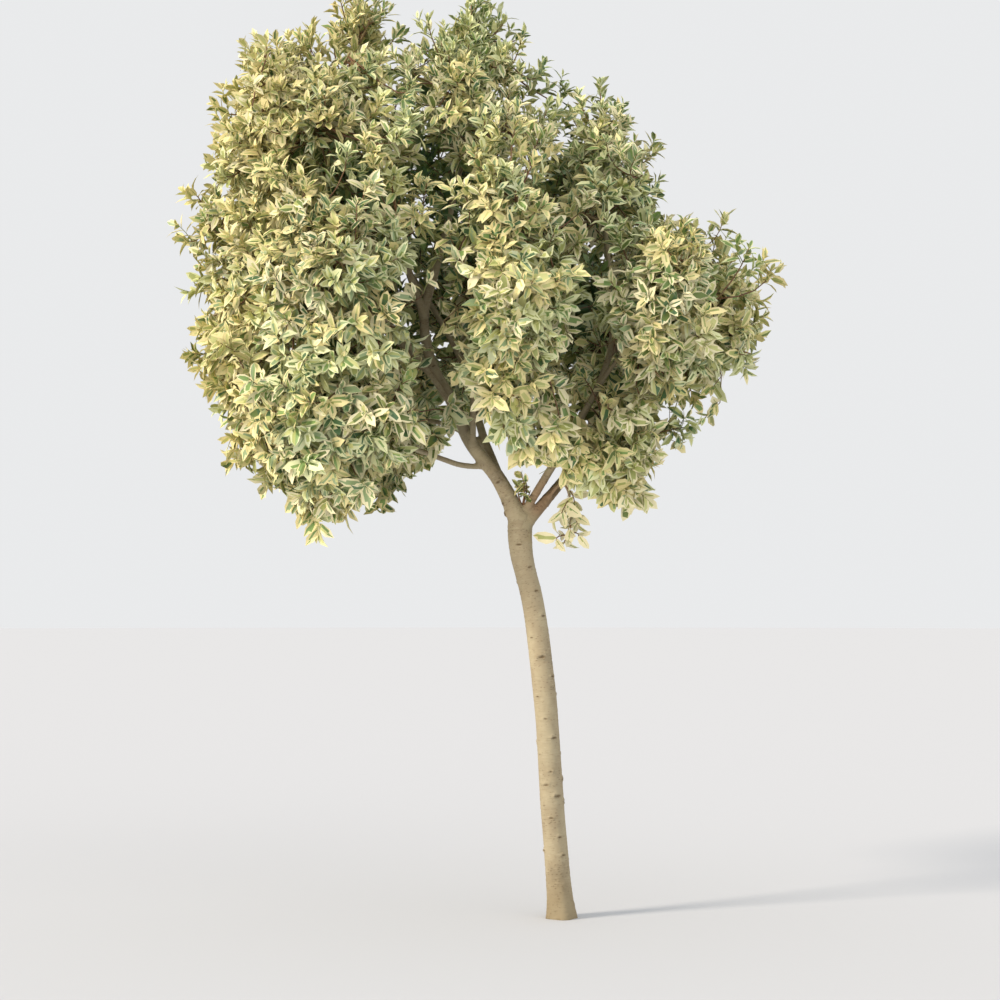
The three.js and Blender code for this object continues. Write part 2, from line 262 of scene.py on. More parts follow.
# Masses of foliage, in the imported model's order, which gives their seeds: name, and place and size
# of each lobe. ragged is how far single sprays stand out of one, kept the share of its sprays, and
# skin how far out its leaves go.
massRows = [
    ("top_left_front", [([-0.57, -0.32, 0.44], [0.35, 0.48, 0.4]),
                        ([-0.4, -0.11, 0.81], [0.14, 0.22, 0.2])], {"skin": 0.96}),
    ("top_left_back", [([-0.49, 0.45, 0.4], [0.37, 0.5, 0.44])], {"skin": 0.96}),
    ("top_centre", [([-0.04, -0.05, 0.52], [0.28, 0.54, 0.38]),
                    ([-0.04, -0.05, 0.84], [0.13, 0.2, 0.17])], {}),
    ("left_side", [([-0.75, -0.02, 0], [0.25, 0.58, 0.43])], {"skin": 1.03}),
    ("left_front", [([-0.44, -0.6, -0.12], [0.3, 0.38, 0.41])], {}),
    ("low_left_front", [([-0.48, -0.42, -0.59], [0.34, 0.45, 0.34])], {"ragged": 0.045}),
    ("low_left_back", [([-0.47, 0.45, -0.52], [0.37, 0.5, 0.4])], {"ragged": 0.03}),
    ("front", [([0.09, -0.6, -0.14], [0.23, 0.38, 0.5])], {}),
    ("back", [([0.02, 0.6, 0.01], [0.38, 0.4, 0.52])], {}),
    ("top_right", [([0.4, 0.02, 0.3], [0.2, 0.5, 0.31])], {}),
    ("right_front", [([0.57, -0.42, -0.22], [0.21, 0.4, 0.36])], {}),
    ("right_tip", [([0.76, 0.02, -0.17], [0.24, 0.46, 0.33])], {"ragged": 0.05, "kept": 0.88}),
    ("right_back", [([0.48, 0.52, -0.15], [0.3, 0.44, 0.4])], {}),
    ("low_right", [([0.44, -0.1, -0.62], [0.21, 0.38, 0.26])], {"ragged": 0.05, "kept": 0.5}),
    ("hanging_sprig", [([0.3, -0.05, -0.88], [0.055, 0.075, 0.09]),
                       ([0.28, -0.06, -1], [0.085, 0.1, 0.06])], {"bare": True}),
]


def placeInCrown(shares):
    return np.array(shares) * crown["half"] + crown["middle"]


masses = [
    {"name": "foliage_" + name, "number": number, "seed": number + 11, **more,
     "lobes": [{"middle": placeInCrown(place), "reach": np.array(size) * crown["half"]}
               for place, size in lobes]}
    for number, (name, lobes, more) in enumerate(massRows)]
massNamed = {mass["name"]: mass for mass in masses}


# One value for each lobe, from its mass.
def byLobe(valueOf):
    return np.array([valueOf(mass, lobe) for mass in masses for lobe in mass["lobes"]])


lobeMiddles = byLobe(lambda mass, lobe: lobe["middle"])
lobeReaches = byLobe(lambda mass, lobe: lobe["reach"])
lobeOwners = byLobe(lambda mass, lobe: mass["number"])
lobeBare = byLobe(lambda mass, lobe: mass.get("bare", False))
lobeSkins = byLobe(lambda mass, lobe: [mass.get("skin", 1)])

# What makes up the crown's skin: the masses, and the spaces between them that their leaves close.
closedMiddles, closedReaches = np.array(crown["closed"]).transpose(1, 0, 2)
skinMiddles = np.vstack([lobeMiddles[~lobeBare], placeInCrown(closedMiddles)])
skinReaches = np.vstack([(lobeReaches * lobeSkins)[~lobeBare], closedReaches * crown["half"]])


# How deep points lie in every mass, as shares of its reach: 0 in its middle and 1 at its edge.
def massDepths(points):
    depths = np.linalg.norm((points[:, None] - lobeMiddles) / lobeReaches, axis=2)
    return np.stack([depths[:, lobeOwners == n].min(axis=1) for n in range(len(masses))], axis=1)


# How firmly all the masses together hold points: over 1 inside the crown's skin, which runs on
# smoothly over the creases between masses.
def crownHold(points):
    depth = np.linalg.norm((points[:, None] - skinMiddles) / skinReaches, axis=2)
    return np.exp(crown["blend"] * (1 - depth)).sum(axis=1)


# Which points are in the space that their own mass keeps to itself.
def inSpace(owners, points, gap):
    depths = massDepths(points)
    rows = np.arange(len(points))
    own = depths[rows, owners]
    depths[rows, owners] = np.inf
    return (own <= crown["spaceShare"]) & (depths.min(axis=1) > own + gap)


# Whether no other mass lies just outside a lobe in each direction.
def facesOut(mass, lobe, outward):
    depths = massDepths(outward * lobe["reach"] * crown["facing"] + lobe["middle"])
    depths[:, mass["number"]] = np.inf
    return depths.min(axis=1) > 1


# Directions spread evenly over a ball, each turned by the golden angle from the one before.
def evenDirections(count, turn):
    i = np.arange(count)
    height = 1 - 2 * (i + 0.5) / count
    angle = turn + i * crown["goldenAngle"]
    level = np.sqrt(1 - height ** 2)
    return np.stack([level * np.cos(angle), level * np.sin(angle), height], axis=1)


# The trunk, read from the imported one's height, leans and sways to the left.
trunk = {
    "height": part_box("trunk")[1].z,
    "lean": -0.108,
    "sway": [(0, 0), (0.22, 0.28), (0.38, 0.53), (0.68, 0.78), (0.95, 0.9), (1, 1)],
    "radius": 0.031,
    "footRadius": 0.039,
    "footHeight": 0.150,  # over which the root flare fades
    "taper": 0.08,
    "swell": (0.13, 0.05),  # under the fork, to the sides and to the front and back
    "swellFrom": (0.84, 0.15),  # share of the height where that starts, and over which it grows
    "dome": (0.97, 0.03, 0.8),  # share where its top rounds off, over which, and how far in
    "mostFlare": 1.3,  # of the root flare, just below the ground
    "sides": 40,
    "rings": 70,
    "below": 0.02,  # modelled on below the ground, and cut off flat
}

# Boughs, each after the one that carries it: name, carrier, the share of the carrier's length where
# it leaves, the mass that it carries, its radii at its root and tip, and what it runs through.
boughRows = [
    ("leader", "trunk", 0.985, "top_centre", (0.022, 0.009),
     [[0.056, -0.03, -0.786], [-0.047, -0.035, -0.636], [-0.117, -0.04, -0.459],
      [-0.196, -0.04, -0.28], [-0.179, -0.04, -0.112], [-0.141, -0.03, 0.042]]),
    ("right", "trunk", 0.985, "top_right", (0.0115, 0.007),
     [[0.196, -0.05, -0.804], [0.317, -0.12, -0.586], [0.373, -0.14, -0.477],
      [0.429, -0.1, -0.291]]),
    ("low_right", "trunk", 0.965, "right_back", (0.016, 0.008),
     [[0.22, 0.01, -0.85], [0.33, 0.14, -0.68]]),
    ("back", "leader", 0.07, "back", (0.014, 0.008), [[0.03, 0.06, -0.7], [-0.02, 0.2, -0.5]]),
    ("low_left", "leader", 0.17, "low_left_front", (0.008, 0.006),
     [[-0.06, -0.05, -0.735], [-0.165, -0.1, -0.7]]),
    ("left", "leader", 0.42, "left_side", (0.011, 0.007), [[-0.35, -0.03, -0.22]]),
    ("left_front", "leader", 0.34, "left_front", (0.009, 0.006), [[-0.25, -0.25, -0.3]]),
    ("front", "leader", 0.24, "front", (0.009, 0.006), [[-0.02, -0.22, -0.42]]),
    ("top_left", "leader", 0.62, "top_left_front", (0.011, 0.007), [[-0.28, -0.14, 0.05]]),
    ("low_back", "back", 0.3, "low_left_back", (0.009, 0.006), [[-0.14, 0.22, -0.56]]),
    ("top_back", "back", 0.66, "top_left_back", (0.010, 0.006), [[-0.18, 0.34, -0.1]]),
    ("right_front", "right", 0.42, "right_front", (0.008, 0.005), [[0.42, -0.22, -0.4]]),
    ("right_tip", "right", 0.6, "right_tip", (0.008, 0.005), [[0.52, -0.06, -0.25]]),
    ("lowest", "low_right", 0.3, "low_right", (0.007, 0.005), [[0.31, 0, -0.76]]),
    ("hanging_sprig", "low_right", 0.16, "hanging_sprig", (0.005, 0.004), [[0.27, -0.04, -0.8]]),
]
boughs = [
    {"name": "bough_" + name, "parent": parent if parent == "trunk" else "bough_" + parent,
     "from": share, "mass": massNamed["foliage_" + mass], "radii": radii, "via": via}
    for name, parent, share, mass, radii, via in boughRows]

trunkRoute = splineThrough(
    [(lean * trunk["lean"], 0, rise * trunk["height"]) for lean, rise in trunk["sway"]])


# The trunk's half-widths at a share of its height, without the ribs over the roots.
def trunkWidths(share):
    flare = math.exp(-share * trunk["height"] / (trunk["footHeight"] / 3))
    taper = trunk["radius"] * (1 - trunk["taper"] * share)
    around = taper + (trunk["footRadius"] - trunk["radius"]) * min(flare, trunk["mostFlare"])
    start, over = trunk["swellFrom"]
    step = min(max((share - start) / over, 0), 1)
    swell = step * step * (3 - 2 * step)
    start, over, inwards = trunk["dome"]
    dome = math.sqrt(1 - inwards * min(max(0, share - start) / over, 1) ** 2)
    return [around * (1 + wider * swell) * dome for wider in trunk["swell"]]


stemGap = 0.0003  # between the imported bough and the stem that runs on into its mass


# Each limb runs from inside its carrier to the middle of its mass. Its stem is the last part.
def growLimbs():
    routes = {"trunk": trunkRoute}
    steps = np.arange(1, 201) / 200
    for bough in boughs:
        mass = bough["mass"]
        lobe = mass["lobes"][0]
        carrier = routes[bough["parent"]]
        via = placeInCrown(bough["via"])
        whole = splineThrough([carrier.pointAt(bough["from"]), *via, lobe["middle"]])
        depths = np.linalg.norm((whole.pointAt(steps) - lobe["middle"]) / lobe["reach"], axis=1)
        inside = depths <= (1 if mass.get("bare") else crown["coreShare"])
        cut = steps[np.argmax(inside)] if inside.any() else 1
        bough["route"] = routes[bough["name"]] = splineThrough(
            whole.pointAt(np.linspace(0, cut, 9)))
        onwards = np.linspace(cut + stemGap / whole.length, 1, 5)
        crest = [lobe["middle"] for lobe in mass["lobes"][1:]]
        bough["stem"] = splineThrough([*whole.pointAt(onwards), *crest])
        mass["bough"] = bough


growLimbs()
print("limbs grown:", len(boughs))


# The main shoots of a mass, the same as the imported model's: evenly spread over each lobe where
# it faces out of the crown, and shortened where they would leave the mass's space.
def mainShootsOf(mass):
    random = seededRandom(mass["seed"])
    owner = np.array([mass["number"]])
    least, more = crown["shootUneven"]
    shoots = []
    for part, lobe in enumerate(mass["lobes"]):
        x, y, z = lobe["reach"]
        area = 4 * math.pi * (x * y + y * z + z * x) / 3
        count = max(crown["fewestShoots"], round(area / crown["sprayPatch"] ** 2))
        directions = evenDirections(count, random() * 2 * math.pi)
        out = facesOut(mass, lobe, directions)
        for i, outward in enumerate(directions):
            reach = crown["shootShare"] * (least + more * random())
            while True:
                tip = outward * lobe["reach"] * reach + lobe["middle"]
                free = inSpace(owner, tip[None], crown["spaceGap"])[0]
                if free or reach <= crown["shortestShoot"]:
                    break
                reach -= crown["shootStep"]
            inside = np.linalg.norm((tip - crown["middle"]) / crown["half"]) < crown["innerShare"]
            if inside or not out[i] or not free:
                continue
            level, upright, onCrest = crown["shootRoot"]
            root = mass["bough"]["stem"].pointAt(onCrest if part else level + upright * outward[2])
            bend = (root + tip) / 2 - crown["shootSag"] * np.linalg.norm(tip - root) * up
            shoots.append(bendThrough(root, bend, tip))
    return shoots


for mass in masses:
    mass["shoots"] = mainShootsOf(mass)
print("main shoots grown:", sum(len(mass["shoots"]) for mass in masses))


# Smooth young bark over the trunk, the boughs and their stems, as one skin.
bark = {
    "voxel": 0.0027,
    "smoothing": 6,  # rounds of it all over
    "webbing": 40,  # more rounds in the crotches, which fills them
    "webReach": 0.035,
    "forkWeb": 1.5,  # how much further that reaches where the trunk ends
    "leastWeb": 0.02,  # share of it, under which a corner gets none
    "fullBough": 0.014,  # half a bough's thickness, under which crotches and wrinkles get less
    "kept": 0.42,  # share of the triangles that is kept where the relief allows it
    "spacing": 0.006,  # between the points of a limb's line
    "collar": 0.4,  # how much wider a bough is where it leaves its carrier
    "wideCollars": {"bough_low_right": 0.85},
    "collarLength": 2.0,  # as a share of its radius there
    "boughTaper": 1.3,  # over 1 it narrows most near its carrier
    "crotchShare": 1.1,  # of its carrier's half-width, where it comes out
    "stemTaper": 0.6,
    "lumps": (0.0012, (0.050, 0.050, 0.120)),  # height, and size around and along the limb
    "bands": (0.0005, (0.030, 0.030, 0.008)),
    "pores": (0.00035, (0.009, 0.009, 0.004)),
    "fullRelief": 0.02,  # from a limb's middle, nearer than which these three are less
    "warts": (0.0016, (0.014, 0.014, 0.011)),  # near the ground
    "wartsTo": 0.22,
    "bumps": (0.0034, (0.011, 0.011, 0.011)),  # at the low right bough's root
    "bumpsTo": 0.045,
    "ribs": (0.09, 4, 0.7),  # height as a share of the trunk's radius, number, and turn
    "wrinkles": (0.0005, 0.0065, 0.022),  # height, spacing and reach of those round a crotch
    "backScars": {"count": 27, "from": 0.075, "spacing": 0.033, "turned": 85},
    "scarSize": (0.0090, 0.0052),  # half the width and the height of an eye-shaped branch scar
    "scarEdge": (0.45, 0.3),  # how ragged the eye is, and the slit in it
    "scarSlit": (0.9, 0.42, 0.1),  # as shares of the eye: its width, height, and how low it lies
    "scarRim": (0.0023, 0.95, 0.3),  # height, and place and width as shares of the eye
    "scarPit": (0.0014, 0.5),  # depth and width
    "scarBrow": (0.0009, 0.0022, 2.0, 0.7, 2.4),  # height, width, place over it, slope and length
    "scarShade": 0.42,  # how dark the eye is round its slit
    "scars": {  # on each limb: metres along it, degrees round it from the front, and size
        "trunk": [
            (0.968, -8, 1.0), (0.905, 27, 0.9), (0.842, 30, 1.0), (0.776, 44, 0.9),
            (0.725, -35, 0.6), (0.672, 6, 1.15), (0.620, 57, 0.9), (0.572, -41, 0.6),
            (0.513, -9, 0.75), (0.463, 30, 1.05), (0.422, -55, 0.6), (0.377, 1, 0.75),
            (0.355, 75, 1.0), (0.345, -24, 1.0), (0.314, 29, 1.15), (0.297, 78, 1.1),
            (0.292, -44, 0.6), (0.260, -9, 0.8), (0.209, 22, 0.8), (0.177, -75, 0.7),
            (0.162, 35, 0.8),
        ],
        "bough_leader": [(0.115, -12, 0.9), (0.46, 10, 0.8), (0.30, 25, 0.7)],
        "bough_right": [(0.16, -20, 0.7)],
    },
    "knobs": {"bough_leader": [(0.030, -70, 1.25), (0.058, -52, 1.0)]},
    "knobSize": (0.0075, 0.0045, 0.0025),  # radius, height, and depth of the pit in its top
}


# Young laurel bark: a thin, smooth, matt skin, cream-tan where the light reaches it, with short
# level lines, small corky pores and darker branch scars, browner and rougher near the ground.
barkFinish = {
    "tan": "#998b70", "pale": "#a69a7e", "grey": "#8a7f68", "line": "#857656", "pore": "#715f44",
    "scar": "#574529", "foot": "#7f6f50", "red": "#8b6a50", "fleck": "#b4a98f",
    "patchSize": (0.060, 0.090), "lineSize": (0.026, 0.0024), "poreSize": (0.013, 0.0042),
    "redPlace": (-0.035, -0.010, 1.078), "redReach": 0.075,  # the low right bough's root
    "footRagged": 0.12,  # metres, how unevenly the foot's brown ends
    "drifts": 0.6,  # how much the pores keep together
    "roughness": 0.78, "ior": 1.45,
    "bump": {"Strength": 0.7, "Distance": 0.0012},  # of the raised lines and the sunk pores
}


# The trunk, extruded ring by ring up its route.
def modelTrunk():
    deselectAll()
    below = -trunk["below"]
    bpy.ops.mesh.primitive_circle_add(
        vertices=trunk["sides"], radius=1, fill_type="NGON", location=(0, 0, below))
    bpy.ops.object.mode_set(mode="EDIT")
    centre, widths = Vector((0, 0, below)), trunkWidths(below / trunk["height"])
    bpy.ops.transform.resize(value=(*widths, 1), center_override=centre)
    for ring in range(trunk["rings"] + 1):
        share = ring / trunk["rings"]
        nextCentre, nextWidths = Vector(trunkRoute.pointAt(share)), trunkWidths(share)
        scale = [new / old for new, old in zip(nextWidths, widths)]
        bpy.ops.mesh.extrude_region_move(TRANSFORM_OT_translate={"value": nextCentre - centre})
        bpy.ops.transform.resize(value=(*scale, 1), center_override=nextCentre)
        centre, widths = nextCentre, nextWidths
    bpy.ops.mesh.select_all(action="SELECT")
    bpy.ops.mesh.normals_make_consistent(inside=False)
    bpy.ops.object.mode_set(mode="OBJECT")
    return bpy.context.object


# Half a bough's thickness along its route and on along its stem.
def boughWidths(bough, shares, alongStem):
    root, tip = bough["radii"]
    if alongStem:
        return tip * (1 - bark["stemTaper"] * shares)
    taper = tip + (root - tip) * (1 - shares) ** bark["boughTaper"]
    reached = shares * bough["route"].length / (bark["collarLength"] * root)
    collar = bark["wideCollars"].get(bough["name"], bark["collar"])
    return taper * (1 + collar * np.exp(-reached))


# A bough's whole line with its stem: points and half-widths.
def boughLine(bough):
    points, widths = [], []
    for route, alongStem in ((bough["route"], False), (bough["stem"], True)):
        shares = np.linspace(0, 1, max(4, round(route.length / bark["spacing"])))[alongStem:]
        points.append(route.pointAt(shares))
        widths.append(boughWidths(bough, shares, alongStem))
    return np.concatenate(points), np.concatenate(widths)


def modelBoughs():
    deselectAll()
    bpy.ops.curve.primitive_bezier_curve_add(radius=0.1, location=(0, 0, 0))
    tubes = bpy.context.object
    tubes.data.splines.clear()
    tubes.data.dimensions = "3D"
    tubes.data.bevel_depth = 1  # so that a point's radius is the bough's there
    tubes.data.bevel_resolution = 4
    tubes.data.use_fill_caps = True
    for bough in boughs:
        points, widths = boughLine(bough)
        spline = tubes.data.splines.new("POLY")
        spline.points.add(len(points) - 1)
        spline.points.foreach_set("co", np.column_stack([points, np.ones(len(points))]).ravel())
        spline.points.foreach_set("radius", widths)
    bpy.ops.object.convert(target="MESH")
    return bpy.context.object


# Every limb's line with its own frame, carried along it without a twist. Each entry has the
# points, tangents, sides, distances along the limb and half-widths.
def limbLines():
    lines = {}
    shares = np.linspace(0, 1, round(trunk["height"] / bark["spacing"]))
    found = {"trunk": (trunkRoute.pointAt(shares), np.array([trunkWidths(s)[0] for s in shares]))}
    found.update((bough["name"], boughLine(bough)) for bough in boughs)
    for name, (points, widths) in found.items():
        tangents = unit(np.gradient(points, axis=0))
        sides = np.zeros_like(points)
        side = np.array([1.0, 0.0, 0.0])
        for i, tangent in enumerate(tangents):
            side = unit(side - (side @ tangent) * tangent)
            sides[i] = side
        lines[name] = {"points": points, "tangents": tangents, "sides": sides,
                       "reached": lengthsAlong(points), "widths": widths}
    return lines


limbLine = limbLines()
limbNames = list(limbLine)
for bough in boughs:
    carrier, route = limbLine[bough["parent"]], bough["route"]
    reached = carrier["reached"]
    inside = np.interp(bough["from"] * reached[-1], reached, carrier["widths"])
    bough["crotch"] = route.pointAt(min(1, inside * bark["crotchShare"] / route.length))
allLimbs = {key: np.concatenate([line[key] for line in limbLine.values()])
            for key in ("points", "tangents", "sides", "reached", "widths")}
allLimbs["limb"] = np.concatenate(
    [np.full(len(line["points"]), n) for n, line in enumerate(limbLine.values())])
limbTree = treeOf(allLimbs["points"])


# Where points lie on the nearest limb, as if it were straight: across it in two directions and
# along it. Also the limb's number and how far round it they are from its front.
def alongLimbs(points):
    nearest = np.array([limbTree.find(p)[1] for p in points])
    apart = points - allLimbs["points"][nearest]
    tangents, sides = allLimbs["tangents"][nearest], allLimbs["sides"][nearest]
    ahead = np.sum(apart * tangents, axis=1)
    x = np.sum(apart * sides, axis=1)
    y = np.sum(apart * np.cross(tangents, sides), axis=1)
    grain = np.column_stack([x, y, allLimbs["reached"][nearest] + ahead])
    return grain, allLimbs["limb"][nearest], np.arctan2(x, -y)


def noiseAt(grain, sizes, shift=0.0):
    return np.array([noise.noise(p) for p in (grain / sizes + shift).tolist()])


# Listed places on limbs, as rows of limb, metres along it, degrees round it and size.
def onLimbs(listed):
    return [(limb, *row) for limb, rows in bark[listed].items() for row in rows]


# The branch scars: the listed ones, and a seeded row that winds up the back of the trunk.
def allScars():
    random = np.random.default_rng(5)
    scars, behind = onLimbs("scars"), bark["backScars"]
    for i in range(behind["count"]):
        along = behind["from"] + behind["spacing"] * (i + 0.5 * random.random())
        turn = math.degrees(crown["goldenAngle"]) * (i + 0.2 * random.random()) % 360 - 180
        if abs(turn) > behind["turned"]:
            scars.append(("trunk", along, turn, 0.45 + 0.6 * random.random()))
    return scars


# How high the bark stands at points of the limbs, and how near they are to a scar, from 0 to 1.
def barkRelief(points):
    grain, limb, turn = alongLimbs(points)
    along = grain[:, 2]
    around = np.hypot(grain[:, 0], grain[:, 1])
    shifted = grain + np.array([0, 0, 3.7]) * limb[:, None]
    onTrunk = limb == 0
    height = np.zeros(len(points))
    thin = np.clip(around / bark["fullRelief"], 0.25, 1)
    for name in ("lumps", "bands", "pores"):
        rise, sizes = bark[name]
        height += rise * thin * noiseAt(shifted, sizes)
    low = np.clip(1 - points[:, 2] / bark["wartsTo"], 0, 1) * onTrunk
    rough = np.exp(-(howFar(points, barkFinish["redPlace"]) / bark["bumpsTo"]) ** 2)
    for name, where, shift, least in (("warts", low, 9.0, 0.1), ("bumps", rough, 4.0, 0.05)):
        rise, sizes = bark[name]
        height += rise * where * np.clip(noiseAt(shifted, sizes, shift) - least, 0, 1)
    flare = np.exp(-np.maximum(points[:, 2], 0) / (trunk["footHeight"] / 3)) * onTrunk
    rise, ribs, first = bark["ribs"]
    angle = np.arctan2(grain[:, 1], grain[:, 0])
    height += around * rise * np.sin(ribs * angle + first) * flare

    # How far the points are from a place on a limb, around and along it
    def apartFrom(name, at, degrees):
        side = (turn - math.radians(degrees) + math.pi) % (2 * math.pi) - math.pi
        return limb == limbNames.index(name), side * around, along - at

    scarred = np.zeros(len(points))
    ragged = noiseAt(shifted, (0.005, 0.005, 0.005), 2.0)
    eyeEdge, slitEdge = bark["scarEdge"]
    slitWide, slitTall, slitLow = bark["scarSlit"]
    rimRise, rimAt, rimWidth = bark["scarRim"]
    pitDepth, pitWidth = bark["scarPit"]
    browRise, browWidth, browOver, browSlope, browLong = bark["scarBrow"]
    for name, at, degrees, size in allScars():
        wide, tall = (size * half for half in bark["scarSize"])
        here, a, b = apartFrom(name, at, degrees)
        here &= (np.abs(a) < 5 * wide) & (np.abs(b) < 8 * tall)
        eye = np.hypot(a / wide, b / tall) * (1 + eyeEdge * ragged)
        slit = np.hypot(a / (slitWide * wide), (b + slitLow * tall) / (slitTall * tall))
        slit = slit * (1 + slitEdge * ragged)
        rim = (rimRise * np.exp(-((eye - rimAt) / rimWidth) ** 2)
               - pitDepth * np.exp(-(eye / pitWidth) ** 2))
        browLine = b - browOver * tall + browSlope * np.abs(a)
        brow = browRise * np.exp(-(browLine / browWidth) ** 2 - (a / (browLong * wide)) ** 2)
        height += np.where(here, size * (rim + brow), 0)
        mark = np.maximum(bark["scarShade"] * np.exp(-(eye / 0.9) ** 4), np.exp(-slit ** 2))
        scarred = np.maximum(scarred, np.where(here, mark, 0))
    radius, rise, pit = bark["knobSize"]
    for name, at, degrees, size in onLimbs("knobs"):
        here, a, b = apartFrom(name, at, degrees)
        knob = np.hypot(a, b) / (radius * size)
        here &= knob < 4
        stub = rise * np.exp(-(knob / 0.9) ** 4) - pit * np.exp(-(knob / 0.4) ** 2)
        height += np.where(here, size * stub, 0)
        scarred = np.maximum(scarred, np.where(here, np.exp(-(knob / 0.6) ** 2), 0))
    rise, spacing, fade = bark["wrinkles"]
    for bough in boughs:
        apart = howFar(points, bough["crotch"])
        waves = np.cos(2 * math.pi * apart / spacing) * np.exp(-(apart / fade) ** 2)
        height += rise * min(1, bough["radii"][0] / bark["fullBough"]) * waves
    return height, grain, scarred


# The limbs joined to one closed skin, smoothed most where boughs leave their carriers.
def skinOverLimbs():
    trunkPart, boughPart = modelTrunk(), modelBoughs()
    deselectAll()
    boughPart.select_set(True)
    trunkPart.select_set(True)
    bpy.context.view_layer.objects.active = trunkPart
    bpy.ops.object.join()
    made = bpy.context.object
    made.name = made.data.name = "laurel_bark"
    bpy.ops.object.transform_apply(location=True, rotation=True, scale=True)
    made.data.remesh_voxel_size = bark["voxel"]
    made.data.remesh_voxel_adaptivity = 0
    bpy.ops.object.voxel_remesh()
    points = cornersOf(made.data)
    near = np.zeros(len(points))
    webs = [(bough["crotch"], min(1, bough["radii"][0] / bark["fullBough"])) for bough in boughs]
    for place, share in webs + [(trunkRoute.pointAt(1.0), bark["forkWeb"])]:
        apart = howFar(points, place) / (bark["webReach"] * share)
        near = np.maximum(near, np.exp(-apart ** 2))
    crotches = made.vertex_groups.new(name="crotches")
    for i in np.flatnonzero(near > bark["leastWeb"]).tolist():
        crotches.add([i], near[i], "REPLACE")
    for group, rounds in (("crotches", bark["webbing"]), ("", bark["smoothing"])):
        bpy.ops.object.modifier_add(type="SMOOTH")
        made.modifiers[0].vertex_group = group
        made.modifiers[0].factor = 0.5
        made.modifiers[0].iterations = rounds
        bpy.ops.object.modifier_apply(modifier=made.modifiers[0].name)
    return made


def cornersOf(mesh):
    points = np.empty(len(mesh.vertices) * 3)
    mesh.vertices.foreach_get("co", points)
    return points.reshape(-1, 3)


def makeBark():
    made = skinOverLimbs()
    points = cornersOf(made.data)
    normals = np.empty(points.size)
    made.data.vertex_normals.foreach_get("vector", normals)
    height, grain, scarred = barkRelief(points)
    raised = points + normals.reshape(-1, 3) * height[:, None]
    made.data.vertices.foreach_set("co", raised.ravel())
    for name, kind, field, values in (("grain", "FLOAT_VECTOR", "vector", grain.ravel()),
                                      ("scar", "FLOAT", "value", scarred)):
        made.data.attributes.new(name, kind, "POINT").data.foreach_set(field, values)

    bpy.ops.object.modifier_add(type="DECIMATE")
    made.modifiers[0].ratio = bark["kept"]
    bpy.ops.object.modifier_apply(modifier=made.modifiers[0].name)

    # The flat cut at ground level
    bpy.ops.object.mode_set(mode="EDIT")
    bpy.ops.mesh.select_all(action="SELECT")
    bpy.ops.mesh.bisect(plane_co=(0, 0, 0), plane_no=(0, 0, 1), clear_inner=True, use_fill=True,
                        threshold=1e-6)
    bpy.ops.object.mode_set(mode="OBJECT")
    bpy.ops.object.shade_smooth()
    made.data.materials.clear()
    made.data.materials.append(barkMaterial())
    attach(made, "root")
    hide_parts("trunk", *[bough["name"] for bough in boughs])
    made.data.calc_loop_triangles()
    print("bark modelled:", len(made.data.loop_triangles), "triangles")
    return made


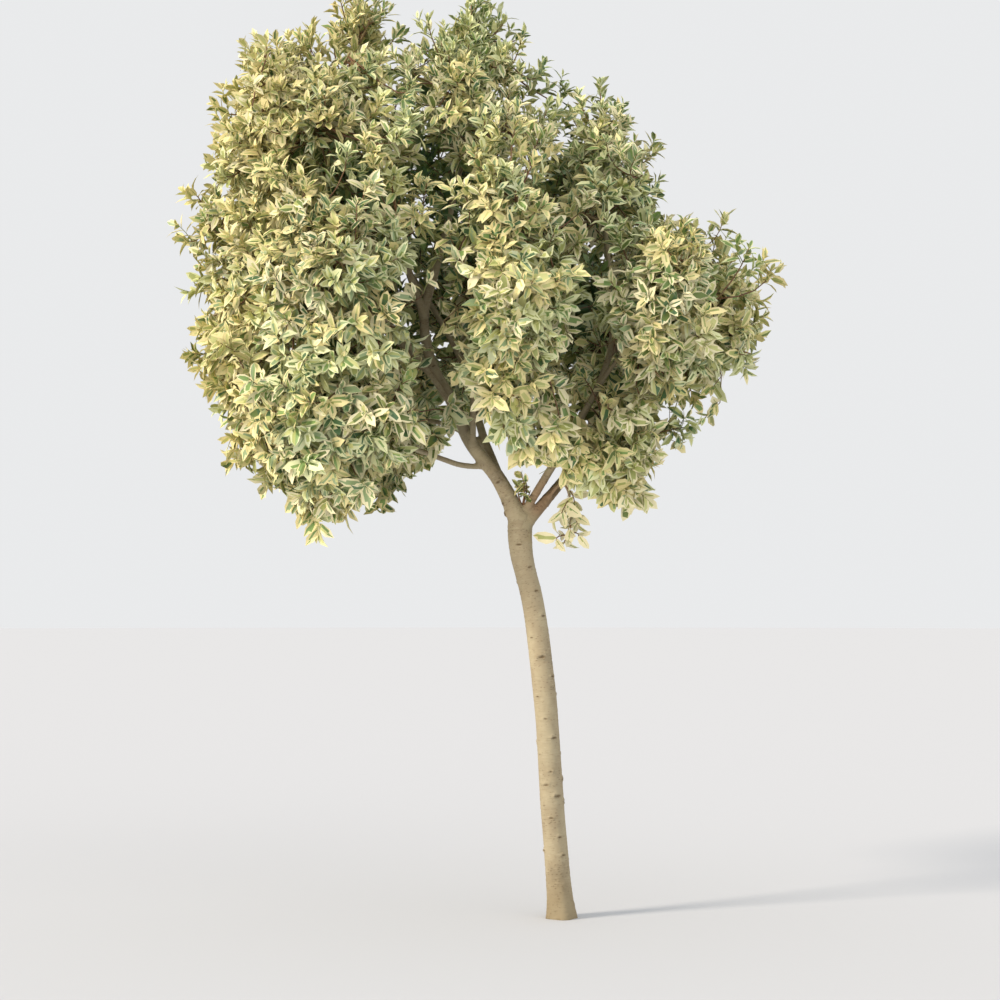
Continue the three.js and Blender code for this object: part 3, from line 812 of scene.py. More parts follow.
def barkMaterial():
    material, shader = newMaterial("young laurel bark")
    finish = barkFinish
    grain = addNode(material, "ShaderNodeAttribute", attribute_name="grain").outputs["Vector"]
    scar = addNode(material, "ShaderNodeAttribute", attribute_name="scar").outputs["Fac"]
    place = addNode(material, "ShaderNodeTexCoord").outputs["Object"]

    # Each pattern is fitted to its real size around and along the limb.
    patterns = {}
    for name, kind, output, settings in (
            ("patch", "ShaderNodeTexNoise", "Fac", {"Scale": 1, "Detail": 3}),
            ("line", "ShaderNodeTexNoise", "Fac", {"Scale": 1, "Detail": 2, "Roughness": 0.6}),
            ("pore", "ShaderNodeTexVoronoi", "Distance", {"Scale": 1, "Randomness": 0.9})):
        across, along = finish[name + "Size"]
        scale = (1 / across, 1 / across, 1 / along)
        fitted = addNode(material, "ShaderNodeMapping", {"Scale": scale}, {"Vector": grain})
        texture = addNode(material, kind, settings, {"Vector": fitted.outputs[0]})
        patterns[name] = texture.outputs[output]

    rise = addNode(material, "ShaderNodeSeparateXYZ", links={"Vector": place}).outputs["Z"]
    ragged = addNode(material, "ShaderNodeMath", {1: finish["footRagged"]},
                     {0: patterns["patch"]}, operation="MULTIPLY").outputs[0]
    footRise = addNode(material, "ShaderNodeMath", links={0: rise, 1: ragged},
                       operation="ADD").outputs[0]
    toRed = addNode(material, "ShaderNodeVectorMath", {1: finish["redPlace"]}, {0: place},
                    operation="DISTANCE").outputs["Value"]

    # Pores stand in drifts, not all over.
    drifts = addNode(material, "ShaderNodeMath", {1: finish["drifts"]},
                     {0: patterns["patch"], 2: patterns["pore"]},
                     operation="MULTIPLY_ADD").outputs[0]

    # Tints laid over the tan, each where its source runs from one value to another.
    patch, line, reach = patterns["patch"], patterns["line"], finish["redReach"]
    under, masks = None, {}
    for name, source, low, high, most in (
            ("pale", patch, 0.35, 0.65, 1.0), ("grey", patch, 0.42, 0.30, 0.7),
            ("fleck", line, 0.40, 0.28, 0.6), ("line", line, 0.56, 0.74, 0.45),
            ("pore", drifts, 0.53, 0.40, 0.65), ("foot", footRise, 0.24, 0.06, 0.6),
            ("red", toRed, reach, 0.4 * reach, 0.6), ("scar", scar, 0.05, 0.85, 0.9)):
        mask = addNode(material, "ShaderNodeMapRange",
                       {"From Min": low, "From Max": high, "To Max": most}, {"Value": source},
                       interpolation_type="SMOOTHSTEP")
        masks[name] = mask.outputs["Result"]
        tints = {6: linear(finish["tan"]), 7: linear(finish[name])}  # sockets of its two colours
        over = addNode(material, "ShaderNodeMix", tints, {0: masks[name]}, data_type="RGBA")
        if under is not None:
            material.node_tree.links.new(under, over.inputs[6])
        under = over.outputs[2]
    material.node_tree.links.new(under, shader.inputs["Base Color"])
    shader.inputs["Roughness"].default_value = finish["roughness"]
    shader.inputs["IOR"].default_value = finish["ior"]
    raised = addNode(material, "ShaderNodeMath", links={0: masks["pore"], 1: masks["line"]},
                     operation="SUBTRACT").outputs[0]
    bump = addNode(material, "ShaderNodeBump", finish["bump"], {"Height": raised})
    material.node_tree.links.new(bump.outputs["Normal"], shader.inputs["Normal"])
    return material


makeBark()


# Leafy shoots, grown on from the main shoots. Outer ones end just inside the crown's skin, evenly
# spread over it, and inner ones fill in behind them.
shoots = {
    "lines": (400, 0.02, 1.5),  # number, step and reach of those that find places on the skin
    "outer": {"spacing": 0.064, "inset": (0.012, 0.060), "bulge": 0.055},
    "inner": {"spacing": 0.090, "inset": (0.09, 0.22), "bulge": 0.0},
    "deep": {"spacing": 0.125, "inset": (0.26, 0.42), "bulge": 0.0},
    "denser": (1.06, -0.18),  # how the spacing changes from the crown's foot to its top
    "behind": (0.80, 0.05),  # share of it for inner ones, and from where back, against the sky
    "bulges": (0.21, 0.4),  # their size, and the noise at which they are level with the skin
    "hollow": (0.085, 0.105, 2.2),  # depth, size and steepness of hollows between outer sprays
    "hollowShare": {"outer": 0.34, "inner": 0.40, "deep": 2},  # of noise, over which none ends
    "openShare": 0.5,  # of an opening, in which no shoot ends
    "innerShare": 0.46,  # of the crown's reach, inside which none ends
    "standing": 0.20,  # share of the shoots that stand proud of the others
    "stand": (0.060, 0.4),  # by how much, and how steeply down they may point and still do so
    "raggedly": (-0.5, 1),  # shares of its mass's raggedness
    "rootShare": (0.3, 0.92, 6),  # from where to where on its main shoot, in so many steps
    "rootBehind": (0.12, 0.6),  # how much longer a shoot may be, to run on in its carrier's way
    "shortest": 0.07,
    "unruly": 0.22,  # how much its end turns any way at all
    "endShare": 0.45,  # of its length, that runs as its end does
    "lift": (-0.15, 1.35),  # how much a shoot's end turns up, at the crown's foot and at its top
    "sideGaps": (0.038, 0.075, 0.120),  # from its tip, where its side shoots leave
    "sideUneven": (0.8, 1.25),  # shares of those gaps
    "sideLowest": 0.15,  # of its length, under which none leaves
    "sideLength": (0.040, 0.080),
    "sideHeading": (0.7, 0.75, 0.6),  # along its carrier, away from it and up
    "sideBend": (0.4, 0.5),  # along its carrier, and the share of its length
    "sideHold": 0.6,  # the crown's hold where the outermost of them end
    "thickness": {"main": (0.0046, 0.0022), "outer": (0.0022, 0.0011), "side": (0.0014, 0.0008)},
    "fringe": 0.30,  # the crown's hold where the outermost leaves end
    "tipFringe": 0.50,  # and where the outermost shoots do
    "sprig": [  # shoots of the sprig that hangs by itself, from root to tip in metres
        ((0.012, -0.018, 1.112), (0.034, -0.040, 1.066)),
        ((0.022, -0.020, 1.080), (0.000, -0.046, 1.040)),
        ((0.028, -0.021, 1.055), (0.040, -0.030, 1.012)),
        ((0.022, -0.024, 1.015), (0.024, -0.040, 0.992)),
        ((0.020, -0.025, 0.990), (0.044, -0.034, 0.982)),
        ((0.018, -0.026, 0.985), (0.006, -0.036, 0.962)),
        ((0.018, -0.026, 0.984), (-0.014, -0.034, 0.970)),
    ],
    "leafSize": {"crown": 1.0, "hanging": 1.03, "sprig": 1.0, "fork": 0.62},
    "fork": [  # small shoots in the fork, from root to tip in metres
        ((-0.104, -0.012, 1.066), (-0.112, -0.030, 1.112)),
        ((-0.098, -0.014, 1.062), (-0.092, -0.036, 1.124)),
        ((-0.092, -0.010, 1.066), (-0.080, -0.020, 1.100)),
        ((-0.100, -0.012, 1.064), (-0.104, -0.044, 1.140)),
    ],
    "hanging": [  # tips of shoots that hang before the limbs and at the crown's foot: where the
        # camera sees them in the trunk's plane, how far behind that they are, which is less than
        # nothing for those before it, and the number of their mass
        (-0.120, 1.235, -0.33, 7), (-0.085, 1.210, -0.30, 7), (-0.048, 1.196, -0.28, 7),
        (-0.020, 1.222, -0.30, 7), (-0.150, 1.262, -0.34, 7), (0.006, 1.250, -0.30, 7),
        (-0.070, 1.290, -0.26, 7), (-0.036, 1.330, -0.24, 7), (-0.318, 1.236, -0.14, 5),
        (-0.286, 1.292, -0.12, 5), (0.060, 1.150, -0.16, 13), (0.090, 1.118, -0.14, 13),
        (0.128, 1.085, -0.12, 13), (0.176, 1.070, -0.12, 13), (0.020, 1.206, -0.20, 13),
        (0.036, 1.168, -0.18, 13), (0.010, 1.150, -0.17, 13), (0.074, 1.196, -0.18, 13),
        (-0.650, 1.040, -0.20, 5), (-0.610, 1.062, -0.24, 5), (-0.686, 1.066, -0.16, 5),
        (-0.570, 1.078, -0.20, 5),
    ],
}

# Where the photograph looks into the crown and shows a limb: ellipses in the plane through the
# trunk, as seen from the camera, as place and half the width and height. Leaves before them are
# left out.
openBefore = -0.02  # just before the trunk
openings = [
    ((-0.335, 1.350), (0.036, 0.085)), ((-0.352, 1.570), (0.032, 0.080)),
    ((-0.238, 1.215), (0.040, 0.046)), ((-0.185, 1.150), (0.050, 0.056)),
    ((-0.290, 1.160), (0.050, 0.036)), ((-0.040, 1.120), (0.046, 0.045)),
    ((0.075, 1.335), (0.030, 0.075)), ((0.122, 1.470), (0.030, 0.060)),
]


# Points and directions along shoots, at shares of their length.
def alongShoots(group, shares):
    t = np.asarray(shares)[..., None]
    root, control, tip = (group[key][:, None] for key in ("root", "control", "tip"))
    return (root * (1 - t) ** 2 + 2 * control * t * (1 - t) + tip * t ** 2,
            unit((control - root) * (1 - t) + (tip - control) * t))


# Which points stand before a limb that the photograph shows.
def inOpening(points, share=1.0):
    eye = np.array(camera["place"])
    scale = -eye[1] / (points[:, 1] - eye[1])
    seenX = eye[0] + (points[:, 0] - eye[0]) * scale
    seenZ = eye[2] + (points[:, 2] - eye[2]) * scale
    found = np.zeros(len(points), bool)
    for (x, z), (wide, tall) in openings:
        found |= ((seenX - x) / wide) ** 2 + ((seenZ - z) / tall) ** 2 < share ** 2
    return found & (points[:, 1] < openBefore)


# 0 at the crown's foot and 1 at its top.
def riseInCrown(points):
    foot = crown["middle"][2] - crown["half"][2]
    return np.clip((points[:, 2] - foot) / (2 * crown["half"][2]), 0, 1)


def mostlyUp(points):
    low, high = shoots["lift"]
    return (low + (high - low) * riseInCrown(points))[:, None] * up


# Where lines from a place inside the crown come out through its skin.
def skinFrom(place, turn):
    count, step, reach = shoots["lines"]
    directions = evenDirections(count, turn)
    reached = np.arange(step, reach, step)
    points = place + directions[:, None] * reached[:, None]
    firm = np.log(crownHold(points.reshape(-1, 3))).reshape(len(directions), -1)
    held = np.logical_and.accumulate(firm > 0, axis=1).sum(axis=1)
    rows = np.flatnonzero((held > 0) & (held < len(reached)))
    last = held[rows] - 1
    before, after = firm[rows, last], firm[rows, last + 1]
    return place + directions[rows] * (reached[last] + step * before / (before - after))[:, None]


def skinNormals(points):
    apart = (points[:, None] - skinMiddles) / skinReaches
    depth = np.linalg.norm(apart, axis=2, keepdims=True)
    return unit((np.exp(-crown["blend"] * depth) / depth * apart / skinReaches).sum(axis=1))


# Some of the points, chosen so that each is its spacing away from the others.
def spreadOut(points, spacing, outer, random):
    base, change = shoots["denser"]
    spacings = spacing * (base + change * riseInCrown(points))
    if not outer:
        closer, line = shoots["behind"]
        spacings[points[:, 1] > line] *= closer
    tree = treeOf(points)
    free = np.ones(len(points), bool)
    chosen = []
    for i in random.permutation(len(points)):
        if free[i]:
            chosen.append(i)
            free[[near for _, near, _ in tree.find_range(points[i], spacings[i])]] = False
    return points[chosen]


# The place on a mass's wood that carries a shoot to each tip: near the tip, and behind it.
def carriersOf(mass, tips):
    shares = np.linspace(*shoots["rootShare"])
    longer, straight = shoots["rootBehind"]
    routes = mass["shoots"] + [mass["bough"]["stem"]]
    points = np.concatenate([route.pointAt(shares) for route in routes])
    tangents = np.concatenate([route.tangentAt(shares) for route in routes])
    apart = tips[:, None] - points
    length = np.linalg.norm(apart, axis=2)
    ahead = np.sum(apart * tangents, axis=2) / length
    cost = np.maximum(length, shoots["shortest"]) + longer * np.maximum(0, straight - ahead)
    return points[np.argmin(cost, axis=1)]


# Shoots that end at the tips, pointing away from the crown and up. Each is carried by its mass.
def shootsTo(tip, outward, owner, kind, random, root=None):
    if root is None:
        root = np.empty_like(tip)
        for number in np.unique(owner):
            root[owner == number] = carriersOf(masses[number], tip[owner == number])
    end = unit(outward + mostlyUp(tip) + random.normal(0, shoots["unruly"], tip.shape))
    length = howFar(tip, root)[:, None]
    return {"root": root, "control": tip - end * shoots["endShare"] * length, "tip": tip,
            "owner": owner, "leafSize": np.full(len(tip), shoots["leafSize"][kind]),
            "alone": np.full(len(tip), kind != "crown"), "bare": np.full(len(tip), False),
            "pale": np.full(len(tip), kind == "sprig")}


def growLayer(layer, random):
    rule = shoots[layer]
    points = np.concatenate([
        skinFrom(middle, random.random() * 2 * math.pi) for middle in skinMiddles])
    inside = np.linalg.norm((points - crown["middle"]) / crown["half"], axis=1)
    outer = layer == "outer"
    points = spreadOut(points[inside > shoots["innerShare"]], rule["spacing"], outer, random)
    normal = skinNormals(points)
    low, high = rule["inset"]
    inset = low + (high - low) * random.random(len(points))
    size, level = shoots["bulges"]
    inset += rule["bulge"] * (level - noiseAt(points, size, 5.0))
    deep, size, steep = shoots["hollow"]
    hollow = noiseAt(points, size, 3.0)
    inset += deep * np.clip(steep * hollow, 0, 1) * outer
    stands = (random.random(len(points)) < shoots["standing"]) & outer
    proud, down = shoots["stand"]
    inset -= proud * np.where(stands, np.clip(normal[:, 2] + down, 0, 1), 0)
    depths = massDepths(points - normal * inset[:, None])
    depths[:, lobeOwners[lobeBare]] = np.inf
    owner = depths.argmin(axis=1)
    kept, ragged = (np.array([mass.get(key, usual) for mass in masses])[owner]
                    for key, usual in (("kept", 1), ("ragged", 0)))
    inset -= ragged * random.uniform(*shoots["raggedly"], len(points)) * outer
    tip = points - normal * inset[:, None]
    keep = ~inOpening(tip, shoots["openShare"]) & (random.random(len(tip)) < kept)
    keep &= crownHold(tip) > shoots["tipFringe"]
    keep &= hollow < shoots["hollowShare"][layer]
    return shootsTo(tip[keep], normal[keep], owner[keep], "crown", random)


# The small shoots that are listed: the sprig under the crown, and those in the fork.
def growListed(kind, outward, mass, random):
    root, tip = np.array(shoots[kind]).transpose(1, 0, 2)
    outward, owner = np.tile(outward, (len(tip), 1)), np.full(len(tip), massNamed[mass]["number"])
    grown = shootsTo(tip, outward, owner, kind, random, root)
    grown["bare"][:] = True
    return grown


# Shoots that hang in the light before the limbs, where the photograph shows them.
def growHanging(random):
    eye = np.array(camera["place"])
    rows = np.array(shoots["hanging"])
    seen = np.column_stack([rows[:, 0], np.zeros(len(rows)), rows[:, 1]])
    tip = eye + (seen - eye) * ((rows[:, 2] - eye[1]) / -eye[1])[:, None]
    outward = np.tile([0, -0.7, -0.9], (len(rows), 1))
    return shootsTo(tip, outward, rows[:, 3].astype(int), "hanging", random)


# The side shoots of some shoots, each turned by the golden angle from the one before.
def growSideShoots(parents, random):
    count = len(parents["tip"])
    turns = random.random(count) * 2 * math.pi
    grown = {key: [] for key in parents}
    whole = howFar(parents["tip"], parents["root"])[:, None]
    (ahead, away, rise), (bend, share) = shoots["sideHeading"], shoots["sideBend"]
    for i, gap in enumerate(shoots["sideGaps"]):
        gap = gap * random.uniform(*shoots["sideUneven"], (count, 1))
        shares = np.maximum(1 - gap / whole, shoots["sideLowest"])
        root, along = (found[:, 0] for found in alongShoots(parents, shares))
        side = unit(np.cross(up, along))
        angle = (turns + i * crown["goldenAngle"])[:, None]
        radial = side * np.cos(angle) + np.cross(along, side) * np.sin(angle)
        heading = unit(ahead * along + away * radial + rise * mostlyUp(root))
        low, high = shoots["sideLength"]
        length = (low + (high - low) * random.random(count))[:, None]
        tip = root + heading * length
        control = root + unit(bend * along + radial) * share * length
        keep = ((crownHold(tip) > shoots["sideHold"]) | parents["alone"]) & ~parents["bare"]
        keep &= ~inOpening(tip, shoots["openShare"])
        for key, values in {**parents, "root": root, "control": control, "tip": tip}.items():
            grown[key].append(values[keep])
    return {key: np.concatenate(values) for key, values in grown.items()}


def joinShoots(groups):
    return {key: np.concatenate([group[key] for group in groups]) for key in groups[0]}


def growShoots():
    grown = {}
    spray = 0
    for layer, seed in (("outer", 41), ("inner", 43), ("deep", 47)):
        random = np.random.default_rng(seed)
        groups = [growLayer(layer, random)]
        if layer == "outer":
            groups += [growListed("sprig", [0, -0.3, -1.4], "foliage_hanging_sprig", random),
                       growHanging(random),
                       growListed("fork", [0, -0.4, 0.6], "foliage_low_right", random)]
        grown[layer] = joinShoots(groups)
        count = len(grown[layer]["tip"])
        grown[layer]["spray"] = spray + np.arange(count)
        spray += count
        grown[layer + "Side"] = growSideShoots(grown[layer], random)
    return grown, spray


leafyShoots, sprayCount = growShoots()
print("leafy shoots grown:", {layer: len(group["tip"]) for layer, group in leafyShoots.items()})


# Joined copies of small shapes as one object. Each part has the placed corners of its copies, the
# corners and the sizes of one copy's faces, and the material of every face.
def joinedObject(name, parts):
    corners, loops, sizes, tints = [], [], [], []
    base = 0
    for part in parts:
        copies, each = part["corners"].shape[:2]
        offsets = base + each * np.arange(copies)
        loops.append((part["loops"][None] + offsets[:, None]).ravel())
        sizes.append(np.tile(part["sizes"], copies))
        tints.append(part["tints"].ravel())
        corners.append(part["corners"].reshape(-1, 3))
        base += copies * each
    corners, loops, sizes, tints = map(np.concatenate, (corners, loops, sizes, tints))
    data = bpy.data.meshes.new(name)
    data.vertices.add(len(corners))
    data.vertices.foreach_set("co", corners.ravel())
    data.loops.add(len(loops))
    data.loops.foreach_set("vertex_index", loops.astype(np.int32))
    data.polygons.add(len(sizes))
    starts = np.concatenate([[0], np.cumsum(sizes)[:-1]])
    data.polygons.foreach_set("loop_start", starts.astype(np.int32))
    data.polygons.foreach_set("material_index", tints.astype(np.int32))
    data.update(calc_edges=True)
    data.shade_smooth()
    made = bpy.data.objects.new(name, data)
    bpy.context.collection.objects.link(made)
    print(name, "joined:", int((sizes - 2).sum()), "triangles")
    return made


# Young wood: dull tan on the older shoots, reddish brown and smooth on this year's, and green on
# the softest. Each has its name, colour and roughness.
twigFinish = [
    ("older laurel shoot, dull tan", "#8f7a58", 0.75),
    ("this year's laurel shoot, reddish brown", "#77563d", 0.55),
    ("soft laurel shoot, green", "#8c8f58", 0.5),
]


# Closed tapering tubes round paths of a few points.
def tubes(paths, thickness, sides, tint):
    copies, rings = paths.shape[:2]
    whole = unit(paths[:, -1] - paths[:, 0])
    across = np.where(np.abs(whole[:, 2:]) < 0.8, up, np.array([1.0, 0.0, 0.0]))
    tangents = unit(np.gradient(paths, axis=1))
    side = unit(np.cross(tangents, across[:, None]))
    face = np.cross(tangents, side)
    widths = np.linspace(*thickness, rings)[None, :, None, None]
    angles = 2 * math.pi * np.arange(sides) / sides
    around = (side[:, :, None] * np.cos(angles)[:, None]
              + face[:, :, None] * np.sin(angles)[:, None])
    corners = (paths[:, :, None] + around * widths).reshape(copies, rings * sides, 3)
    tips = paths[:, -1] + tangents[:, -1] * thickness[1]
    corners = np.concatenate([corners, tips[:, None]], axis=1)
    faces = [list(range(sides))[::-1]]
    for ring in range(rings - 1):
        for i in range(sides):
            here, beside = ring * sides + i, ring * sides + (i + 1) % sides
            faces.append([here, beside, beside + sides, here + sides])
    last = (rings - 1) * sides
    faces += [[last + i, last + (i + 1) % sides, rings * sides] for i in range(sides)]
    return {"corners": corners, "loops": np.array([c for face in faces for c in face]),
            "sizes": np.array([len(face) for face in faces]),
            "tints": np.full((copies, len(faces)), tint)}


def makeTwigs():
    thick = shoots["thickness"]
    main = [route.pointAt(np.linspace(0, 1, 9)) for mass in masses if not mass.get("bare")
            for route in mass["shoots"]]
    parts = [tubes(np.array(main), thick["main"], 6, 0)]
    for layer, size, rings, sides, tint in (
            ("outer", "outer", 5, 4, 1), ("inner", "outer", 4, 4, 0), ("deep", "outer", 4, 3, 0),
            ("outerSide", "side", 3, 3, 2), ("innerSide", "side", 2, 3, 1),
            ("deepSide", "side", 2, 3, 1)):
        group = leafyShoots[layer]
        shares = np.tile(np.linspace(0, 1, rings), (len(group["tip"]), 1))
        parts.append(tubes(alongShoots(group, shares)[0], thick[size], sides, tint))
    made = joinedObject("laurel_twigs", parts)
    for finish in twigFinish:
        made.data.materials.append(plainMaterial(*finish))
    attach(made, "root")
    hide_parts(*[mass["name"] for mass in masses])


makeTwigs()

# One leaf is a small grid, shaped to an elliptic blade with a drawn-out tip. It is a unit long,
# with its root at the origin, its tip along +X and its upper face up.
leaf = {
    "fine": {"stations": (0, 0.16, 0.46, 0.79, 1), "spread": (0, 0.68, 1.0, 0.70, 0)},
    "plain": {"stations": (0, 0.24, 0.66, 1), "spread": (0, 0.84, 0.88, 0)},  # fewer faces
    "breadth": 0.49,
    "length": (0.058, 0.036),  # at the crown's foot and at its top
    "slimmer": 0.14,  # how much narrower leaves are at the top
    "uneven": (0.85, 1.12),  # shares of that breadth
    "second": 0.42,  # share of the heart's faces in its second green
    "fleck": 0.16,  # and in the edge's colour
    "ragged": (0.5, 1.45),  # how unevenly the heart runs into the edge
    "mostGreen": 0.92,
    "variants": 2,  # of each kind
    "kinds": [  # how far each is folded, curled and twisted, its share of green, and how common
        (0.20, 0.16, 0.1, 0.62, 4), (0.35, 0.30, 0.3, 0.56, 3), (0.16, 0.42, -0.3, 0.66, 3),
        (0.45, 0.22, -0.1, 0.48, 3), (0.26, 0.05, -0.4, 0.70, 3), (0.22, 0.55, 0.2, 0.42, 3),
        (0.30, 0.25, 0.4, 0.84, 1), (0.24, 0.30, -0.2, 0.22, 3), (0.40, 0.38, 0.5, 0.54, 2),
        (0.12, 0.10, -0.5, 0.60, 2),
    ],
    "broadEdge": 0.45,  # share of green, under which a leaf suits the hanging sprig, whose broad pale edges are partly painted sunlight
}


def modelLeaf(kind, detail, random):
    fold, curl, twist, green, _ = kind
    stations, spread = leaf[detail]["stations"], leaf[detail]["spread"]
    rows = len(stations) - 1
    deselectAll()
    bpy.ops.mesh.primitive_grid_add(
        x_subdivisions=rows, y_subdivisions=4, size=1, location=(0.5, 0, 0))
    bpy.ops.object.transform_apply(location=True, rotation=False, scale=False)
    made = bpy.context.object
    for face in made.data.polygons:
        row, column = int(face.center.x * rows), int((face.center.y + 0.5) * 4)
        if column in (1, 2) and row < rows - random.integers(2) and random.random() > leaf["fleck"]:
            face.material_index = 1 + int(random.random() < leaf["second"])
    inner = green * random.uniform(*leaf["ragged"], (rows + 1, 2))
    for corner in made.data.vertices:
        station, column = round(corner.co.x * rows), round((corner.co.y + 0.5) * 4)
        along, half = stations[station], spread[station] * leaf["breadth"] / 2
        left, right = (min(share, leaf["mostGreen"]) for share in inner[station])
        side = (-1, -left, 0, right, 1)[column] * half
        turn, rise = twist * along, fold * abs(side)
        corner.co.x = along - 0.15 * curl * along ** 3
        corner.co.y = side * math.cos(turn) - rise * math.sin(turn)
        corner.co.z = side * math.sin(turn) + rise * math.cos(turn) - curl * along ** 2
    bpy.ops.object.mode_set(mode="EDIT")
    bpy.ops.mesh.select_all(action="SELECT")
    bpy.ops.mesh.remove_doubles(threshold=1e-5)
    bpy.ops.object.mode_set(mode="OBJECT")
    data = made.data
    shape = {
        "corners": np.array([corner.co[:] for corner in data.vertices]),
        "loops": np.array([i for face in data.polygons for i in face.vertices]),
        "sizes": np.array([len(face.vertices) for face in data.polygons]),
        "tints": np.array([face.material_index for face in data.polygons]),
    }
    bpy.data.objects.remove(made)
    return shape


leafRandom = np.random.default_rng(17)
leafShapes = [modelLeaf(kind, detail, leafRandom) for detail in ("fine", "plain")
              for kind in leaf["kinds"] * leaf["variants"]]

# Waxy evergreen leaves: a pale edge and a green heart. Each tint has its name and colour, how
# common it is, and how much commoner where painted sunlight warms the left than in the painted shade
# of the upper right.
leafEdges = [
    ("cream", "#e2dab2", 5, 0.3), ("pale yellow", "#e1d59c", 4, 0.9),
    ("warm yellow", "#e6d8a0", 0.8, 1.3), ("greenish cream", "#d5d8a6", 4, -0.5),
    ("grey cream", "#c6caa0", 2, -1.2),
]
leafHearts = [
    ("mid green", "#7d9858", 3, -0.5), ("grey green", "#8c9f73", 2.6, -0.6),
    ("deep green", "#52704a", 2.6, -0.9), ("olive", "#a4aa68", 3, 1.1),
    ("pale olive", "#c3c482", 2.6, 1.5), ("dark olive", "#68793f", 2.2, 0.0),
]
leafGrowth = {
    "perShoot": {"outer": 9, "outerSide": 8, "inner": 7, "innerSide": 5, "deep": 6, "deepSide": 4},
    "gap": (0.002, 0.0032, 1.35),  # from a shoot's tip to its first leaf, then on and ever more
    "gapUneven": (0.85, 1.2),
    "lowest": 0.12,  # share of a shoot's length, under which it has no leaves
    "sprigGap": 3,  # the hanging sprig's shoots lack their first leaf and each third one from it
    "tilt": (15, 78, 0.6),  # degrees of the youngest and the oldest leaf, and how soon it grows
    "tiltUneven": 0.15,
    "tuck": 42,  # how much less that is at the crown's top, where leaves stand up
    "turn": 144,  # degrees from each leaf to the next, two fifths of a turn
    "turnUneven": 0.2,
    "youngest": (0.55, 0.2),  # size of the youngest leaf, and how much larger each next one is
    "sizeUneven": (0.8, 1.15),
    "shade": {"inner": 1.12, "deep": 1.35},  # how much larger leaves in the shade are
    "shadeHold": (5, 0.8),  # hold past the skin's that is full shade, and its share past which deep leaves lose their pale edge, partly as painted shade
    "sag": 0.55,  # of leaves low in the crown
    "sagUneven": (0.3, 1.3),
    "sprigSag": 0.25,  # share of it on the hanging sprig
    "light": (0.6, 0.6),  # how much a leaf's face turns out to the light, and how much of it is up
    "unruly": 0.34,  # and any way at all
    "towards": (-0.4, -0.9, 0.4),  # how leaves that hang by themselves face the light
    "ownTint": 0.22,  # share of leaves that don't take their spray's tints
    # warmer tints for leaves that hang by themselves in the light, partly painted sunlight
    "tintAndPaintedSunAlone": 0.2,
    "clear": 0.0015,  # from limbs
    "past": 0.01,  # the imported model's box
}


# Where the leaves stand on a group of shoots, and which way each lies.
def placeLeaves(layer, random):
    group, rule = leafyShoots[layer], leafGrowth
    count, each = len(group["tip"]), rule["perShoot"][layer]
    length = howFar(group["tip"], group["root"])
    number = np.arange(each)
    first, gap, crowding = rule["gap"]
    spacing = first + gap * number ** crowding
    shares = 1 - spacing * random.uniform(*rule["gapUneven"], (count, 1)) / length[:, None]
    roots, along = alongShoots(group, shares)
    age = number / (each - 1)
    turn = math.radians(rule["turn"]) * number + random.random((count, 1)) * 2 * math.pi
    turn = (turn + random.normal(0, rule["turnUneven"], (count, each)))[..., None]
    side = unit(np.cross(up, along))
    radial = side * np.cos(turn) + np.cross(along, side) * np.sin(turn)
    rise = riseInCrown(group["tip"])[:, None]
    low, high = np.radians(rule["tilt"][:2])
    high = high - math.radians(rule["tuck"]) * rise
    tilt = low + (high - low) * age ** rule["tilt"][2]
    tilt = (tilt + random.normal(0, rule["tiltUneven"], (count, each)))[..., None]
    axis = along * np.cos(tilt) + radial * np.sin(tilt)
    normal = along * np.sin(tilt) - radial * np.cos(tilt)
    sag = rule["sag"] * (1 - rise) * random.uniform(*rule["sagUneven"], (count, each))
    sag[group["pale"]] *= rule["sprigSag"]
    axis = unit(axis - sag[..., None] * up)
    outwards = unit((group["tip"] - crown["middle"]) / crown["half"])[:, None]
    light, upwards = rule["light"]
    normal = normal + light * (upwards * up + outwards)
    normal += group["alone"][:, None, None] * np.array(rule["towards"])
    normal += random.normal(0, rule["unruly"], axis.shape)
    normal = unit(normal - np.sum(normal * axis, axis=2, keepdims=True) * axis)
    foot, top = leaf["length"]
    size = (foot + (top - foot) * rise) * random.uniform(*rule["sizeUneven"], (count, each))
    youngest, larger = rule["youngest"]
    size = size * np.minimum(1, youngest + larger * number) * group["leafSize"][:, None]
    hold, noEdge = rule["shadeHold"]
    inside = np.clip((crownHold(group["tip"]) - 1) / hold, 0, 1)[:, None]
    size = size * (1 + (rule["shade"].get(layer.removesuffix("Side"), 1) - 1) * inside)
    keep = (number % rule["sprigGap"] != 0) | ~group["pale"][:, None]
    keep = keep & (shares > rule["lowest"])
    return {"root": roots[keep], "axis": axis[keep], "normal": normal[keep], "size": size[keep],
            "plain": np.full(keep.sum(), layer != "outer"),
            # Deep leaves past that share are all green: partly their own colour, partly painted
            # shade.
            "green": np.repeat(inside > noEdge, each, axis=1)[keep] & layer.startswith("deep"),
            **{key: np.repeat(group[key], each).reshape(count, each)[keep]
               for key in ("owner", "spray", "alone", "pale")}}


# The leaves that keep to the crown, leave the limbs free and stay out of the openings.
def keptLeaves(leaves):
    tips = leaves["root"] + leaves["axis"] * leaves["size"][:, None]
    middles = (leaves["root"] + tips) / 2
    keep = (crownHold(tips) > shoots["fringe"]) | leaves["alone"]
    keep &= ~inOpening(tips) & ~inOpening(middles)
    low, high = (np.array(corner) for corner in packedBox)
    past = leafGrowth["past"]
    keep &= np.all((tips > low - past) & (tips < high + past), axis=1)
    for points in (middles, tips):
        for i in np.flatnonzero(keep):
            _, at, apart = limbTree.find(points[i])
            keep[i] = apart > allLimbs["widths"][at] + leafGrowth["clear"]
    return {key: values[keep] for key, values in leaves.items()}
